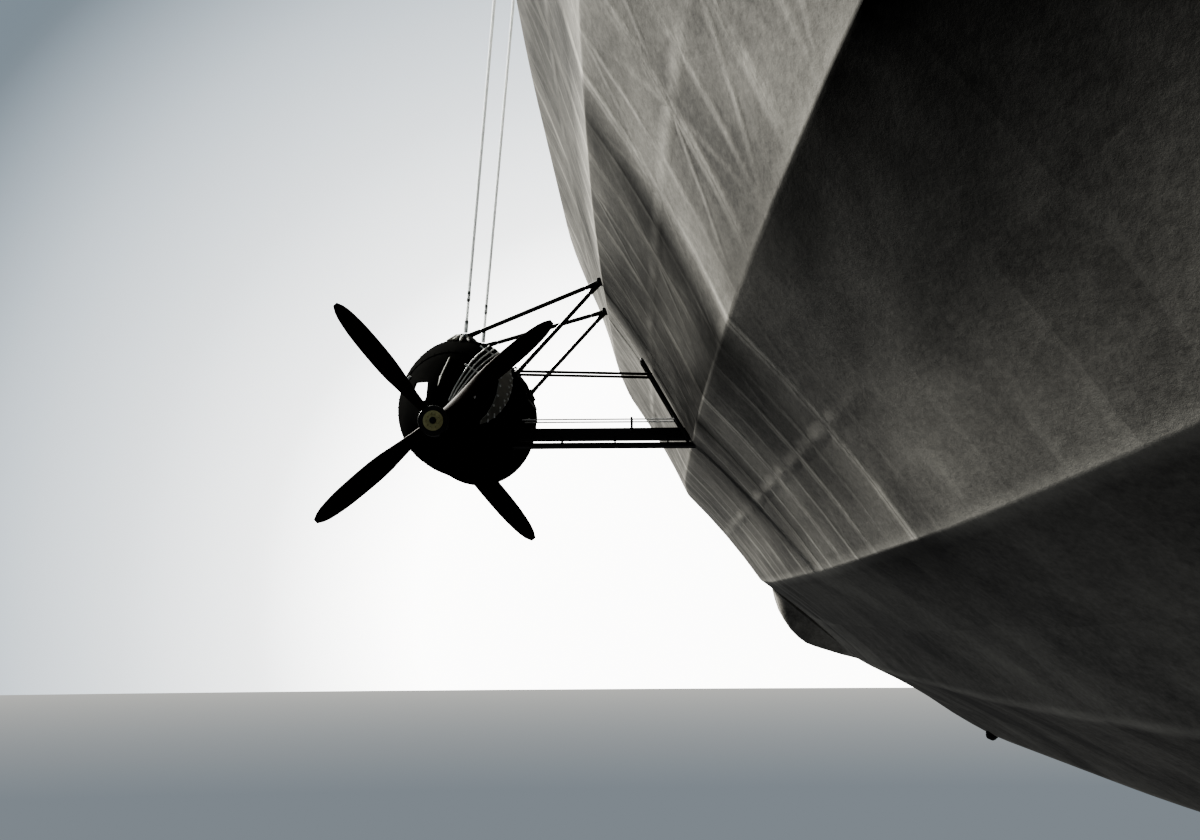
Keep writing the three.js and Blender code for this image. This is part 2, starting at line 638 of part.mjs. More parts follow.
// Door frame on the hull with the hand ropes and low guard wires that run from it
function buildHandrail(name, frame, cutters) {
  const { point, root, middle, ridge, rootRidge, shift } = frame;
  const topUp = root[1] + deck.top;
  const ropeUp = topUp + rail.height - 0.3;
  const guardUp = topUp + rail.guard - 0.3;
  const stations = rail.stations.map((s) => s + shift);
  const upper = ridge(stations[1], rootRidge + 10);
  const lower = ridge(stations[1], rootRidge);
  const onFacet = (t) => [
    THREE.MathUtils.lerp(lower[0], upper[0], t), THREE.MathUtils.lerp(lower[1], upper[1], t),
  ];
  const facetAt = (up) => onFacet((up - lower[1]) / (upper[1] - lower[1]));
  const facet = [upper[0] - lower[0], upper[1] - lower[1]];
  const length = Math.hypot(...facet);
  const out = [(facet[1] / length) * rail.frame * 0.8, (-facet[0] / length) * rail.frame * 0.8];
  const lift = ([y, z]) => [y + out[0], z + out[1]];
  const frameLow = lift(onFacet(0.04));
  const frameHigh = lift(onFacet(rail.frameTop / length));
  const far = middle[0] - 0.95;
  const pieces = stations.flatMap((s) => [
    rod(point(s, ...frameLow), point(s, ...frameHigh), rail.frame),
    rod(point(s, ...facetAt(ropeUp)), point(s, far, ropeUp + 0.08), rail.rope),
    rod(point(s, ...facetAt(guardUp)), point(s, far, guardUp), rail.rope * 0.8),
    rod(point(s, root[0] + 1.25, topUp - 0.08), point(s, root[0] + 1.25, guardUp + 0.04), rail.rope),
  ]);
  const bar = (at) => rod(point(stations[0], ...at), point(stations[1], ...at), rail.frame * 0.8);
  pieces.push(bar(frameHigh));
  add(`${name}_handrail`, carve(pieces, cutters), tubeSteel);
}

function buildEngineCar(name, side, shift, rootRidge) {
  const frame = carFrame(side, shift, rootRidge);
  const from = 89 + (shift > 0 ? 55 : 0);
  const hullCutter = hullBlock(from, from + 22, seat);
  const cutters = [hullCutter, carBlock(frame, seat)];
  buildCarShell(name, frame);
  buildEngine(name, frame);
  buildPropeller(name, frame);
  buildOutrigger(`${name}_outrigger_front`, frame, frame.far, cutters);
  buildOutrigger(`${name}_outrigger_rear`, frame, frame.near, cutters);
  buildCatwalk(name, frame, cutters);
  buildHandrail(name, frame, cutters);
}

buildHull();
buildBowCap();
buildTail();
buildControlCar();
buildWheel('front_leg', 'front_wheel', frontWheel, car.belly);
buildWheel('tail_leg', 'tail_wheel', tailWheel, -finRows[4][0]);

// Engine cars: name, side, shift aft, ridge of the hull that carries the catwalk
const aftShift = 60.5;
const engineCars = [
  ['car_fore_port', 1, 0, -35], ['car_fore_starboard', -1, 0, -35],
  ['car_aft_port', 1, aftShift, -45], ['car_aft_starboard', -1, aftShift, -45],
];
for (const [name, side, shift, rootRidge] of engineCars) buildEngineCar(name, side, shift, rootRidge);

export default ship;
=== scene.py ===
# Looks of a rigid airship of the 1930s, modelled at 1:10.
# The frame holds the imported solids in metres: +X to the nose, +Y to port, +Z up.
# Sizes below are real metres of the full-size ship, and REAL brings them to the model.
import json
import math

import bmesh
import bpy
from mathutils import Matrix, Vector


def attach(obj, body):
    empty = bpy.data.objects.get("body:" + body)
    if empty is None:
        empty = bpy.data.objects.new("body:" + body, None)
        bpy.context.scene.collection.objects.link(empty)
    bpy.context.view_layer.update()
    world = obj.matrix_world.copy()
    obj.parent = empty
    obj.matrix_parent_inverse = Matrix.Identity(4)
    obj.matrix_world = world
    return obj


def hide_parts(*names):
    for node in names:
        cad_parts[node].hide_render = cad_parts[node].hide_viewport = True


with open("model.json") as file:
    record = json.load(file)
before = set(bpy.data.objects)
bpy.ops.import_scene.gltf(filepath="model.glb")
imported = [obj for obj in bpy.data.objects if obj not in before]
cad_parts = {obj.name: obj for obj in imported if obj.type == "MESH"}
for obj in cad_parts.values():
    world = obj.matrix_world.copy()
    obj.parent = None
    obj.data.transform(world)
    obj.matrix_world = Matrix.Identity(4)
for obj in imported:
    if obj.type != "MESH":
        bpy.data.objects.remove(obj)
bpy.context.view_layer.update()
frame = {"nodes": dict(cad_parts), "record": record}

# Model metres for one real metre
REAL = 0.1
# Distance aft of the nose, in real metres, where the frame's origin lies
ORIGIN_STATION = 112

# Camera of the photograph, fitted to the ridges and the engine car
CAMERA_PLACE = (-4.2543, 1.7601, -1.5242)
CAMERA_PITCH = 0.07075
CAMERA_YAW = 0.02139
CAMERA_ROLL = -0.00551
CAMERA_LENS = 79.98
CAMERA_SENSOR = 36
CAMERA_REACH = 2000

# Ridge radius of the hull by station
HULL_LINES = [
    (0, 0), (2.5, 4.55), (6, 7.2), (12, 10.25), (24.5, 14.4), (37, 17.1), (49, 18.85),
    (61, 19.9), (73.5, 20.4), (86, 20.6), (103, 20.6), (122.5, 20.4), (135, 20),
    (147, 19.25), (159, 18.25), (171.5, 16.9), (184, 15.15), (196, 13), (208, 10.5),
    (220.5, 7.6), (233, 4.3), (245, 0.12),
]
# Rings of the solids that carry a change of slope
FRAMES = [
    1, 3.5, 6.5, 12, 23, 34, 45, 59.5, 74, 89, 100, 116.5, 133, 148, 163, 177, 192, 207,
    221, 232, 238, 243,
]
FACETS = 36
HALF_FACET = 5
# Envelope sections: node, first and last station, step of the rings
HULL_SECTIONS = [
    ("hull_nose", 1, 12, 1.1), ("hull_bow", 12, 45, 2.75), ("hull_forward", 45, 89, 2.75),
    ("hull_midship", 89, 133, 2.75), ("hull_aft", 133, 177, 2.75),
    ("hull_stern", 177, 221, 2.75), ("hull_tail", 221, 244.8, 2.75),
]
FACET_STEPS = 4
# How far the cloth is drawn in between two ridges, as a share of the radius
CLOTH_HOLLOW = 0.004
COVER_THICKNESS = 0.05
RIDGE_BEVEL = 0.04

# Engine car. Rows: distance aft of its nose, half width, half height, drift of the middle
CAR_ROWS = [
    (0, 0.7, 0.79, 0), (0.4, 0.95, 1.06, 0), (1.2, 1.17, 1.32, 0), (2.4, 1.27, 1.43, 0),
    (7.6, 1.25, 1.405, 0.12), (8.8, 1.09, 1.22, 0.38), (9.8, 0.72, 0.8, 0.78),
    (10.5, 0.27, 0.27, 1),
]
CAR_NOSE = 92.3
HUB_DRIFT = (0.34, -0.57)
HUB_AFT = 10.75
NEAR_RING = 100
FAR_RING = 94.5
MIDDLE_FROM_ROOT = 4.71
MIDDLE_ABOVE_ROOT = 0.79
# Engine cars: name, side, shift aft, ridge that carries the catwalk
CARS = [
    ("car_fore_port", 1, 0, -35), ("car_fore_starboard", -1, 0, -35),
    ("car_aft_port", 1, 60.5, -45), ("car_aft_starboard", -1, 60.5, -45),
]


# Places


def spot(station, port, up):
    return Vector(((ORIGIN_STATION - station) * REAL, port * REAL, up * REAL))


def polar(station, radius, degrees):
    turn = math.radians(degrees)
    return spot(station, radius * math.cos(turn), radius * math.sin(turn))


def smooth_row(rows, key, column):
    """Reads one column of the rows on a curve that never overshoots them."""
    slopes = [(b[column] - a[column]) / (b[0] - a[0]) for a, b in zip(rows, rows[1:])]

    def tangent(i):
        if i == 0:
            return slopes[0]
        if i == len(rows) - 1:
            return slopes[-1]
        before, after = slopes[i - 1], slopes[i]
        if before * after <= 0:
            return 0
        return 2 * before * after / (before + after)

    end = 1
    while end < len(rows) - 1 and rows[end][0] < key:
        end += 1
    start = end - 1
    width = rows[end][0] - rows[start][0]
    t = (key - rows[start][0]) / width
    return (
        rows[start][column] * (2 * t**3 - 3 * t**2 + 1)
        + tangent(start) * width * (t**3 - 2 * t**2 + t)
        + rows[end][column] * (3 * t**2 - 2 * t**3)
        + tangent(end) * width * (t**3 - t**2)
    )


def straight_row(rows, key, column):
    """Reads one column of the rows on straight lines, as the solids do."""
    end = 1
    while end < len(rows) - 1 and rows[end][0] < key:
        end += 1
    before, after = rows[end - 1], rows[end]
    t = (key - before[0]) / (after[0] - before[0])
    return (1 - t) * before[column] + t * after[column]


def hull_radius(station):
    return smooth_row(HULL_LINES, station, 1)


# Ridge radius on each ring of the solids
FRAME_LINES = [(station, hull_radius(station)) for station in FRAMES]


def frame_radius(station):
    """Radius of the solids, which run straight between two rings."""
    return straight_row(FRAME_LINES, station, 1)


# Modelling


def lay_ring(piece, points):
    """Puts the selected corners of a skin on the points, in their own order."""
    mesh = bmesh.from_edit_mesh(piece.data)
    order = mesh.verts.layers.int["order"]
    for corner in mesh.verts:
        if corner.select:
            corner.co = points[corner[order]]
    bmesh.update_edit_mesh(piece.data)


def skin_over(name, rings, closed=(True, True)):
    """Extrudes a circle from ring to ring, and leaves the skin open in edit mode."""
    corners = len(rings[0])
    bpy.ops.object.select_all(action="DESELECT")
    bpy.ops.mesh.primitive_circle_add(vertices=corners, radius=1)
    piece = bpy.context.object
    piece.name = name
    order = piece.data.attributes.new("order", "INT", "POINT")
    order.data.foreach_set("value", range(corners))
    bpy.ops.object.mode_set(mode="EDIT")
    bpy.ops.mesh.select_all(action="SELECT")
    lay_ring(piece, rings[0])
    for points in rings[1:]:
        bpy.ops.mesh.extrude_edges_move()
        lay_ring(piece, points)
    if closed[1]:
        bpy.ops.mesh.edge_face_add()
    if closed[0]:
        select_where(piece, "VERT", lambda corner: corner.index < corners)
        bpy.ops.mesh.edge_face_add()
    bpy.ops.mesh.select_all(action="SELECT")
    bpy.ops.mesh.normals_make_consistent(inside=False)
    return piece


def select_where(piece, kind, wanted):
    """In edit mode, selects the corners, edges or faces that the test takes."""
    bpy.ops.mesh.select_mode(type=kind)
    bpy.ops.mesh.select_all(action="DESELECT")
    mesh = bmesh.from_edit_mesh(piece.data)
    parts = {"VERT": mesh.verts, "EDGE": mesh.edges, "FACE": mesh.faces}[kind]
    for part in parts:
        if wanted(part):
            part.select_set(True)
    mesh.select_flush_mode()
    bmesh.update_edit_mesh(piece.data)


def add_object(name, data):
    made = bpy.data.objects.new(name, data)
    bpy.context.scene.collection.objects.link(made)
    return made


def open_piece(name):
    """An empty piece in edit mode, to which primitives are added."""
    bpy.ops.object.select_all(action="DESELECT")
    piece = add_object(name, bpy.data.meshes.new(name))
    bpy.context.view_layer.objects.active = piece
    piece.select_set(True)
    bpy.ops.object.mode_set(mode="EDIT")
    return piece


def add_tube(start, end, radius, sides=16, tip=None):
    """A tube from point to point, in model metres, with a real radius at each end."""
    along = end - start
    bpy.ops.mesh.primitive_cone_add(
        vertices=sides,
        radius1=radius * REAL,
        radius2=(radius if tip is None else tip) * REAL,
        depth=along.length,
        location=(start + end) / 2,
        rotation=along.to_track_quat("Z", "Y").to_euler(),
    )


def add_route(points, radius, sides, closed=False):
    """Tubes from point to point, and back to the first where the route is closed."""
    ends = points[1:] + points[:1] if closed else points[1:]
    for start, end in zip(points, ends):
        add_tube(start, end, radius, sides)


def add_block(centre, length, width, height, turn=(0, 0, 0)):
    """A block of real sizes about a point in model metres."""
    bpy.ops.mesh.primitive_cube_add(
        size=1,
        location=centre,
        rotation=turn,
        scale=(length * REAL, width * REAL, height * REAL),
    )


def to_object(piece):
    """Leaves edit mode with only this piece selected."""
    if piece.mode == "EDIT":
        bpy.ops.object.mode_set(mode="OBJECT")
    bpy.ops.object.select_all(action="DESELECT")
    piece.select_set(True)
    bpy.context.view_layer.objects.active = piece


def change(piece, kind, **settings):
    """Adds a modifier with its settings and applies it."""
    to_object(piece)
    modifier = piece.modifiers.new(kind.title(), kind)
    for key, value in settings.items():
        setattr(modifier, key, value)
    bpy.ops.object.modifier_apply(modifier=modifier.name)


def ease_edges(piece, width, steps=2, angle=40):
    """Rounds every edge that is sharper than the angle. The width is real."""
    change(
        piece, "BEVEL", width=width * REAL, segments=steps, limit_method="ANGLE",
        angle_limit=math.radians(angle), harden_normals=False,
    )


def join(pieces, name):
    """Joins the pieces into the first one."""
    to_object(pieces[0])
    for piece in pieces:
        piece.select_set(True)
    bpy.ops.object.join()
    pieces[0].name = name
    return pieces[0]


def cut_away(piece, cutter):
    """Cuts one piece out of another, and drops the cutter."""
    to_object(cutter)
    change(piece, "BOOLEAN", operation="DIFFERENCE", object=cutter, solver="EXACT")
    bpy.data.objects.remove(cutter)


def assign(piece, body, nodes):
    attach(piece, body)
    if nodes:
        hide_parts(*nodes)


def complete(piece, finish, body, nodes=(), angle=30, ease=0):
    """Rounds and shades a piece, and gives it its finish, body and the solids it stands for."""
    to_object(piece)
    if ease:
        ease_edges(piece, ease)
    order = piece.data.attributes.get("order")
    if order:
        piece.data.attributes.remove(order)
    bpy.ops.object.shade_smooth_by_angle(angle=math.radians(angle))
    piece.data.materials.clear()
    piece.data.materials.append(finish)
    assign(piece, body, nodes)


def copy_turned(piece, name, matrix, body, nodes=()):
    """A copy of a finished piece with a mesh of its own, laid in its own place."""
    twin = add_object(name, piece.data.copy())
    twin.data.transform(matrix)
    if matrix.determinant() < 0:
        twin.data.flip_normals()
    assign(twin, body, nodes)


# Finishes

# Distance between two rings
BAY = 5.5
# Where the lower flank turns into the upper one, in facets from level
UPPER_FLANK = {"From Min": -3.9, "From Max": -3.2}
CLOTH_DARK = "#4c4a46"
CLOTH_PALE = "#bdbab2"
# Near black of the painted shade and soot stains on the cover
SHADE_AND_SOOT_BLACK = "#0b0b0b"
PLANK_THICKNESS = 0.06


def colour(hex_value):
    """An sRGB hex value as linear red, green, blue and alpha."""
    channels = [int(hex_value[i : i + 2], 16) / 255 for i in (1, 3, 5)]
    linear = [c / 12.92 if c <= 0.04045 else ((c + 0.055) / 1.055) ** 2.4 for c in channels]
    return (*linear, 1)


def feed(tree, made, inputs):
    """Feeds the inputs of a node with values, other nodes or their sockets."""
    for key, value in dict(inputs).items():
        if isinstance(value, bpy.types.Node):
            value = value.outputs[0]
        if isinstance(value, bpy.types.NodeSocket):
            tree.links.new(value, made.inputs[key])
        else:
            made.inputs[key].default_value = value


def node(tree, kind, inputs=(), **settings):
    """Adds a node, sets it up and feeds its inputs."""
    made = tree.nodes.new("ShaderNode" + kind)
    for key, value in settings.items():
        setattr(made, key, value)
    feed(tree, made, inputs)
    return made


def new_finish(name, **values):
    """A material with one shader, whose plain values are set on the shader itself."""
    material = bpy.data.materials.new(name)
    material.use_nodes = True
    tree = material.node_tree
    shader = tree.nodes["Principled BSDF"]
    feed(tree, shader, {key.replace("_", " "): value for key, value in values.items()})
    return material, tree, shader


def lines_at_whole(tree, value, reach):
    """1 on every whole number of the value, and softly down to 0 at the reach."""
    gap = node(tree, "Math", {0: value, 1: 0.5}, operation="PINGPONG")
    return node(
        tree, "MapRange",
        {"Value": gap, "From Min": 0, "From Max": reach, "To Min": 1, "To Max": 0},
        interpolation_type="SMOOTHSTEP",
    )


def doped_cotton():
    """Cotton cloth laced over the frame and brushed with dope and aluminium powder.
    Matt grey with a faint sheen. Rings, battens and wires press through as broad paler
    bands, each panel took the dope differently, a painted highlight lies along the tape on
    each lower ridge, and painted shade and soot stains darken marked fields of the cover."""
    material, tree, shader = new_finish("doped_cotton", Metallic=0.0, Specular_IOR_Level=0.3)
    place = node(tree, "TexCoord")
    spread = place.outputs["Object"]
    axes = node(tree, "SeparateXYZ", {0: spread})
    outward = node(tree, "Math", {0: axes.outputs[1]}, operation="ABSOLUTE")
    turn = node(tree, "Math", {0: axes.outputs[2], 1: outward}, operation="ARCTAN2")
    # One facet is 10 degrees, and the ridges lie half a facet off the whole numbers
    facets = node(tree, "Math", {0: turn, 1: FACETS / (2 * math.pi)}, operation="MULTIPLY")
    ridges = node(tree, "Math", {0: facets, 1: 0.5}, operation="ADD")
    # Bays are counted so that every ring lies on a whole number
    bays = node(
        tree, "Math",
        {0: axes.outputs[0], 1: -1 / (BAY * REAL), 2: (ORIGIN_STATION - NEAR_RING) / BAY},
        operation="MULTIPLY_ADD",
    )
    # The lines waver a little, because the cloth is laced and not nailed down
    waver = node(tree, "TexNoise", {"Vector": spread, "Scale": 3, "Detail": 2})
    bays_wavered = node(tree, "Math", {0: waver, 1: 0.12, 2: bays}, operation="MULTIPLY_ADD")
    battens = node(tree, "Math", {0: bays_wavered, 1: 2}, operation="MULTIPLY")
    rising = node(tree, "Math", {0: bays_wavered, 1: facets}, operation="ADD")
    falling = node(tree, "Math", {0: bays_wavered, 1: facets}, operation="SUBTRACT")
    # The crossed wires show only on the upper flank, where the cloth is drawn onto them
    crossed = node(tree, "MapRange", {"Value": facets, **UPPER_FLANK, "To Min": 0.1, "To Max": 0.45})
    # What lies under the cloth: its own count, how far its mark fades out, and its strength
    frame_lines = [
        (bays, 0.085, 1.0), (battens, 0.13, 0.7), (facets, 0.055, 0.6), (rising, 0.06, crossed),
        (falling, 0.06, crossed),
    ]
    total = 0
    for count, reach, strength in frame_lines:
        line = lines_at_whole(tree, count, reach)
        line = node(tree, "Math", {0: line, 1: strength}, operation="MULTIPLY")
        total = node(tree, "Math", {0: total, 1: line}, operation="MAXIMUM")
    # The bands break up over about 2 m, where the cloth lies tighter or slacker
    broken = node(tree, "TexNoise", {"Vector": spread, "Scale": 5, "Detail": 5, "Roughness": 0.6})
    broken = node(tree, "MapRange", {
        "Value": broken, "From Min": 0.4, "From Max": 0.58, "To Min": 0.2, "To Max": 1,
    })
    pressed = node(tree, "Math", {0: total, 1: broken}, operation="MULTIPLY")
    # Where the lower flank is doped thick, the frame hardly shows through
    thick = node(tree, "Attribute", attribute_name="thick_dope")
    thin = node(tree, "Math", {0: thick.outputs["Fac"], 1: -0.9, 2: 1}, operation="MULTIPLY_ADD")
    streaked = node(tree, "Math", {0: pressed, 1: thin}, operation="MULTIPLY")
    # A tape is doped over every ridge, and a painted highlight along it is stronger on the lower ridges,
    # where the drawn-in cloth turns up to the light
    tapes_and_highlights = lines_at_whole(tree, ridges, 0.065)
    lower_highlight = node(tree, "MapRange", {"Value": facets, **UPPER_FLANK, "To Min": 1, "To Max": 0.3})
    tapes_and_highlights = node(tree, "Math", {0: tapes_and_highlights, 1: lower_highlight}, operation="MULTIPLY")
    # Each strip of cloth, half a facet wide and half a bay long, has its own shade
    strip_facet = node(tree, "Math", {0: ridges, 1: 2}, operation="MULTIPLY")
    strip_facet = node(tree, "Math", {0: strip_facet}, operation="FLOOR")
    strip_bay = node(tree, "Math", {0: battens}, operation="FLOOR")
    strip = node(tree, "CombineXYZ", {0: strip_facet, 1: strip_bay})
    strip_shade = node(tree, "TexWhiteNoise", {"Vector": strip}, noise_dimensions="2D")
    # Wind and rain draw the dirt out along the ship
    drawn_out = node(tree, "Mapping", {"Vector": spread, "Scale": (0.3, 1, 1)})
    blotches = node(tree, "TexNoise", {
        "Vector": drawn_out, "Scale": 3.4, "Detail": 6, "Roughness": 0.6, "Distortion": 0.4,
    })
    # Brush marks of the dope, about 0.5 m apart
    mottle = node(tree, "TexNoise", {
        "Vector": drawn_out, "Scale": 17, "Detail": 5, "Roughness": 0.62,
    })
    grit = node(tree, "TexNoise", {"Vector": drawn_out, "Scale": 120, "Detail": 4, "Roughness": 0.75})
    shade = node(tree, "Math", {0: strip_shade, 1: 0.16, 2: -0.92}, operation="MULTIPLY_ADD")
    layers = ((blotches, 1.1), (mottle, 0.45), (grit, 0.6), (streaked, 0.55), (tapes_and_highlights, 0.34))
    for layer, weight in layers:
        shade = node(tree, "Math", {0: layer, 1: weight, 2: shade}, operation="MULTIPLY_ADD")
    tint = node(tree, "MapRange", {"Value": shade, "From Min": 0, "From Max": 1})
    tint = node(tree, "MixRGB", {0: tint, 1: colour(CLOTH_DARK), 2: colour(CLOTH_PALE)})
    # Painted shade and soot stains, marked on the corners of the cover, darken the cloth to near black
    soot = node(tree, "Attribute", attribute_name="soot")
    shade_and_soot = node(tree, "Math", {0: blotches, 1: -0.7, 2: 1.25}, operation="MULTIPLY_ADD")
    shade_and_soot = node(tree, "Math", {0: soot.outputs["Fac"], 1: shade_and_soot}, operation="MULTIPLY", use_clamp=True)
    tint = node(tree, "MixRGB", {0: shade_and_soot, 1: tint, 2: colour(SHADE_AND_SOOT_BLACK)})
    sheen = node(tree, "MapRange", {"Value": shade_and_soot, "To Min": 0.3, "To Max": 0.0})
    gloss = node(tree, "MapRange", {"Value": blotches, "To Min": 0.5, "To Max": 0.75})
    # Rings and wires stand some 20 mm proud under the cloth
    bump = node(tree, "Bump", {"Height": streaked, "Strength": 1.0, "Distance": 0.0018})
    # The weave is far too fine to show, so it is drawn as coarse as the lumps of dope
    weave = node(tree, "Math", {0: mottle, 1: 0.8, 2: grit}, operation="MULTIPLY_ADD")
    bump = node(tree, "Bump", {"Height": weave, "Strength": 0.4, "Distance": 0.0009, "Normal": bump})
    feed(tree, shader, {
        "Base Color": tint, "Specular IOR Level": sheen, "Roughness": gloss, "Normal": bump,
    })
    return material


def weathered(name, patterns, tints=(), gloss=None, bump=None, **values):
    """A finish whose colour, gloss and bumps follow patterns laid over the piece.

    A pattern is a kind of texture, its inputs, and how the place is stretched or turned first.
    A tint is a pattern and two colours, where None stands for the tint so far, and the gloss is
    a pattern and two roughnesses. Both may end with the part of the pattern's range that counts.
    The bump is a pattern, its strength and its depth in metres."""
    material, tree, shader = new_finish(name, **values)
    place = node(tree, "TexCoord").outputs["Object"]
    made = {}
    for key, (kind, inputs, *moved) in patterns.items():
        spread = place
        if moved:
            spread = node(tree, "Mapping", {"Vector": place, **moved[0]})
        made[key] = node(tree, "Tex" + kind, {"Vector": spread, **inputs})
    looks = {}
    for pattern, first, second, *part in tints:
        share = made[pattern]
        if part:
            low, high = part
            share = node(tree, "MapRange", {"Value": share, "From Min": low, "From Max": high})
        under = colour(first) if first else looks["Base Color"]
        looks["Base Color"] = node(tree, "MixRGB", {0: share, 1: under, 2: colour(second)})
    if gloss:
        pattern, smooth, rough, *part = gloss
        low, high = part or (0, 1)
        looks["Roughness"] = node(tree, "MapRange", {
            "Value": made[pattern], "From Min": low, "From Max": high, "To Min": smooth, "To Max": rough,
        })
    if bump:
        pattern, strength, depth = bump
        looks["Normal"] = node(tree, "Bump", {
            "Height": made[pattern], "Strength": strength, "Distance": depth,
        })
    feed(tree, shader, looks)
    return material


def laminated_walnut():
    """Walnut planks glued and carved, under dark spar varnish: fine long grain with
    the glue lines across the chord, and a gloss that rain and grit have worn off."""
    material, tree, shader = new_finish("laminated_walnut", Specular_IOR_Level=0.03)
    # The map runs in model metres: along the blade, then across it
    grain_map = node(tree, "UVMap", uv_map="along_blade")
    stretched = node(tree, "Mapping", {"Vector": grain_map, "Scale": (18, 260, 1)})
    grain = node(tree, "TexNoise", {
        "Vector": stretched, "Scale": 1, "Detail": 6, "Roughness": 0.6, "Distortion": 0.6,
    })
    plank_scale = (1, 1 / (PLANK_THICKNESS * REAL), 1)
    planks = node(tree, "Mapping", {"Vector": grain_map, "Scale": plank_scale})
    across = node(tree, "SeparateXYZ", {0: planks})
    glue = lines_at_whole(tree, across.outputs[1], 0.06)
    tint = node(tree, "MixRGB", {0: grain, 1: colour("#120d0a"), 2: colour("#33241a")})
    feed(tree, shader, {
        "Base Color": node(tree, "MixRGB", {0: glue, 1: tint, 2: colour("#0a0706")}),
        "Roughness": node(tree, "MapRange", {"Value": grain, "To Min": 0.5, "To Max": 0.75}),
        "Normal": node(tree, "Bump", {"Height": grain, "Strength": 0.1, "Distance": 0.0003}),
    })
    return material


COTTON = doped_cotton()
WALNUT = laminated_walnut()
# Black enamel sprayed on sheet metal: deep black, its gloss dulled by oil and soot
ENAMEL = weathered(
    "black_enamel", {
        "smears": ("Noise", {"Scale": 1.2, "Detail": 5, "Roughness": 0.65}, {"Scale": (4, 30, 30)}),
        "dust": ("Noise", {"Scale": 160, "Detail": 2}),
    },
    [("smears", "#131313", "#222221")], ("smears", 0.55, 0.75, 0.3, 0.7), ("dust", 0.12, 0.0004),
    Metallic=0.0, Specular_IOR_Level=0.0,
)
# Steel tube brushed with black paint: satin, with paler scuffs where hands and boots have been
TUBE = weathered(
    "tube_paint", {"scuffs": ("Noise", {"Scale": 70, "Detail": 6, "Roughness": 0.7})},
    [("scuffs", "#0c0c0d", "#34322f", 0.58, 0.72)], ("scuffs", 0.35, 0.62), ("scuffs", 0.15, 0.0004),
    Metallic=0.0,
)
# Zinc-coated steel: faintly spangled, and pale with the white bloom of zinc left out of doors
WIRE = weathered(
    "galvanised_wire", {"spangle": ("Voronoi", {"Scale": 260})},
    [("spangle", "#bfc1bf", "#eceded")], ("spangle", 0.35, 0.55), Metallic=0.0,
)
# Steel cable served with white cotton cord, which lets some of the light through
SERVED = weathered(
    "served_cable", {"turns": ("Noise", {"Scale": 200, "Detail": 3})},
    [("turns", "#8f9394", "#b3b6b7")], bump=("turns", 0.3, 0.0003), Metallic=0.0, Roughness=0.8,
    Subsurface_Weight=1.0, Subsurface_Scale=0.02, Subsurface_Radius=(1, 1, 1),
)
# Brass plate faced on a lathe and long out in the weather: dull olive yellow
BRASS = weathered(
    "turned_brass", {"stain": ("Noise", {"Scale": 120, "Detail": 5, "Roughness": 0.65})},
    [("stain", "#7d7952", "#cfcb9f")], ("stain", 0.3, 0.6), Metallic=0.5,
)
# Dull olive enamel on small castings, rubbed pale at its high spots
OLIVE = weathered(
    "olive_enamel", {"rubbed": ("Noise", {"Scale": 90, "Detail": 5})},
    [("rubbed", "#121309", "#26271a")], Specular_IOR_Level=0.1, Roughness=0.7,
)
# Aluminium sheet painted to match the doped cloth: smooth, with shallow dents and a satin sheen
ALUMINIUM = weathered(
    "sheet_aluminium", {
        "dents": ("Noise", {"Scale": 9, "Detail": 2}),
        "grime": ("Noise", {"Scale": 28, "Detail": 6, "Roughness": 0.65}),
    },
    [("grime", "#5c5c5a", "#a9a9a5")], ("grime", 0.35, 0.6), ("dents", 0.3, 0.002), Metallic=0.35,
)
# Sand-cast aluminium: grainy, grey and matt, oily in the hollows
CASTING = weathered(
    "cast_aluminium", {
        "sand": ("Noise", {"Scale": 400, "Detail": 4}), "oil": ("Noise", {"Scale": 24, "Detail": 4}),
    },
    [("oil", "#35353a", "#8b8c8e")], ("oil", 0.4, 0.75), ("sand", 0.3, 0.0003), Metallic=0.8,
)
# Vulcanised tyre rubber: near black and matt, grey with dust on the tread
RUBBER = weathered(
    "tyre_rubber", {"dust": ("Noise", {"Scale": 90, "Detail": 5, "Roughness": 0.65})},
    [("dust", "#141414", "#33312f")], ("dust", 0.7, 0.95), ("dust", 0.2, 0.0004),
)
# Thin window pane: clear, faintly green, with dust and dried drops
GLASS = weathered(
    "pane_glass", {"dust": ("Noise", {"Scale": 50, "Detail": 6, "Roughness": 0.7})},
    gloss=("dust", 0.02, 0.25, 0.45, 0.8), IOR=1.45, Transmission_Weight=1.0,
    Base_Color=colour("#e8f0ee"),
)
# Hand rope of laid hemp: dull brown-grey strands, dark with grease
ROPE = weathered(
    "hemp_rope", {
        "strands": ("Wave", {"Scale": 160, "Distortion": 1.5, "Detail": 2}, {"Rotation": (0, 0, 0.9)}),
    },
    [("strands", "#17130f", "#3d342a")], bump=("strands", 0.6, 0.0006), Roughness=0.9,
)
# Heavy flax canvas proofed with wax: off-white and grey with soot. Its threads lie 1 mm apart
# on the real canvas, and are drawn ten times as coarse
CANVAS = weathered(
    "proofed_canvas", {
        "threads": ("Wave", {"Scale": 160, "Distortion": 2}),
        "soot": ("Noise", {"Scale": 60, "Detail": 5, "Roughness": 0.65}),
    },
    [("soot", "#b9b8b2", "#55544f", 0.4, 0.6)], bump=("threads", 0.4, 0.0004), Roughness=0.9,
    Sheen_Weight=0.15,
)
# Ash slats oiled dark: long grain, worn pale where boots tread
PLANKS = weathered(
    "deck_planks", {
        "grain": ("Noise", {"Scale": 1, "Detail": 6, "Roughness": 0.65}, {"Scale": (300, 20, 300)}),
        "tread": ("Noise", {"Scale": 30, "Detail": 3}),
    },
    [("grain", "#15120f", "#3a3127"), ("tread", None, "#2b2621")], ("tread", 0.55, 0.85),
    ("grain", 0.3, 0.0004),
)


# Envelope


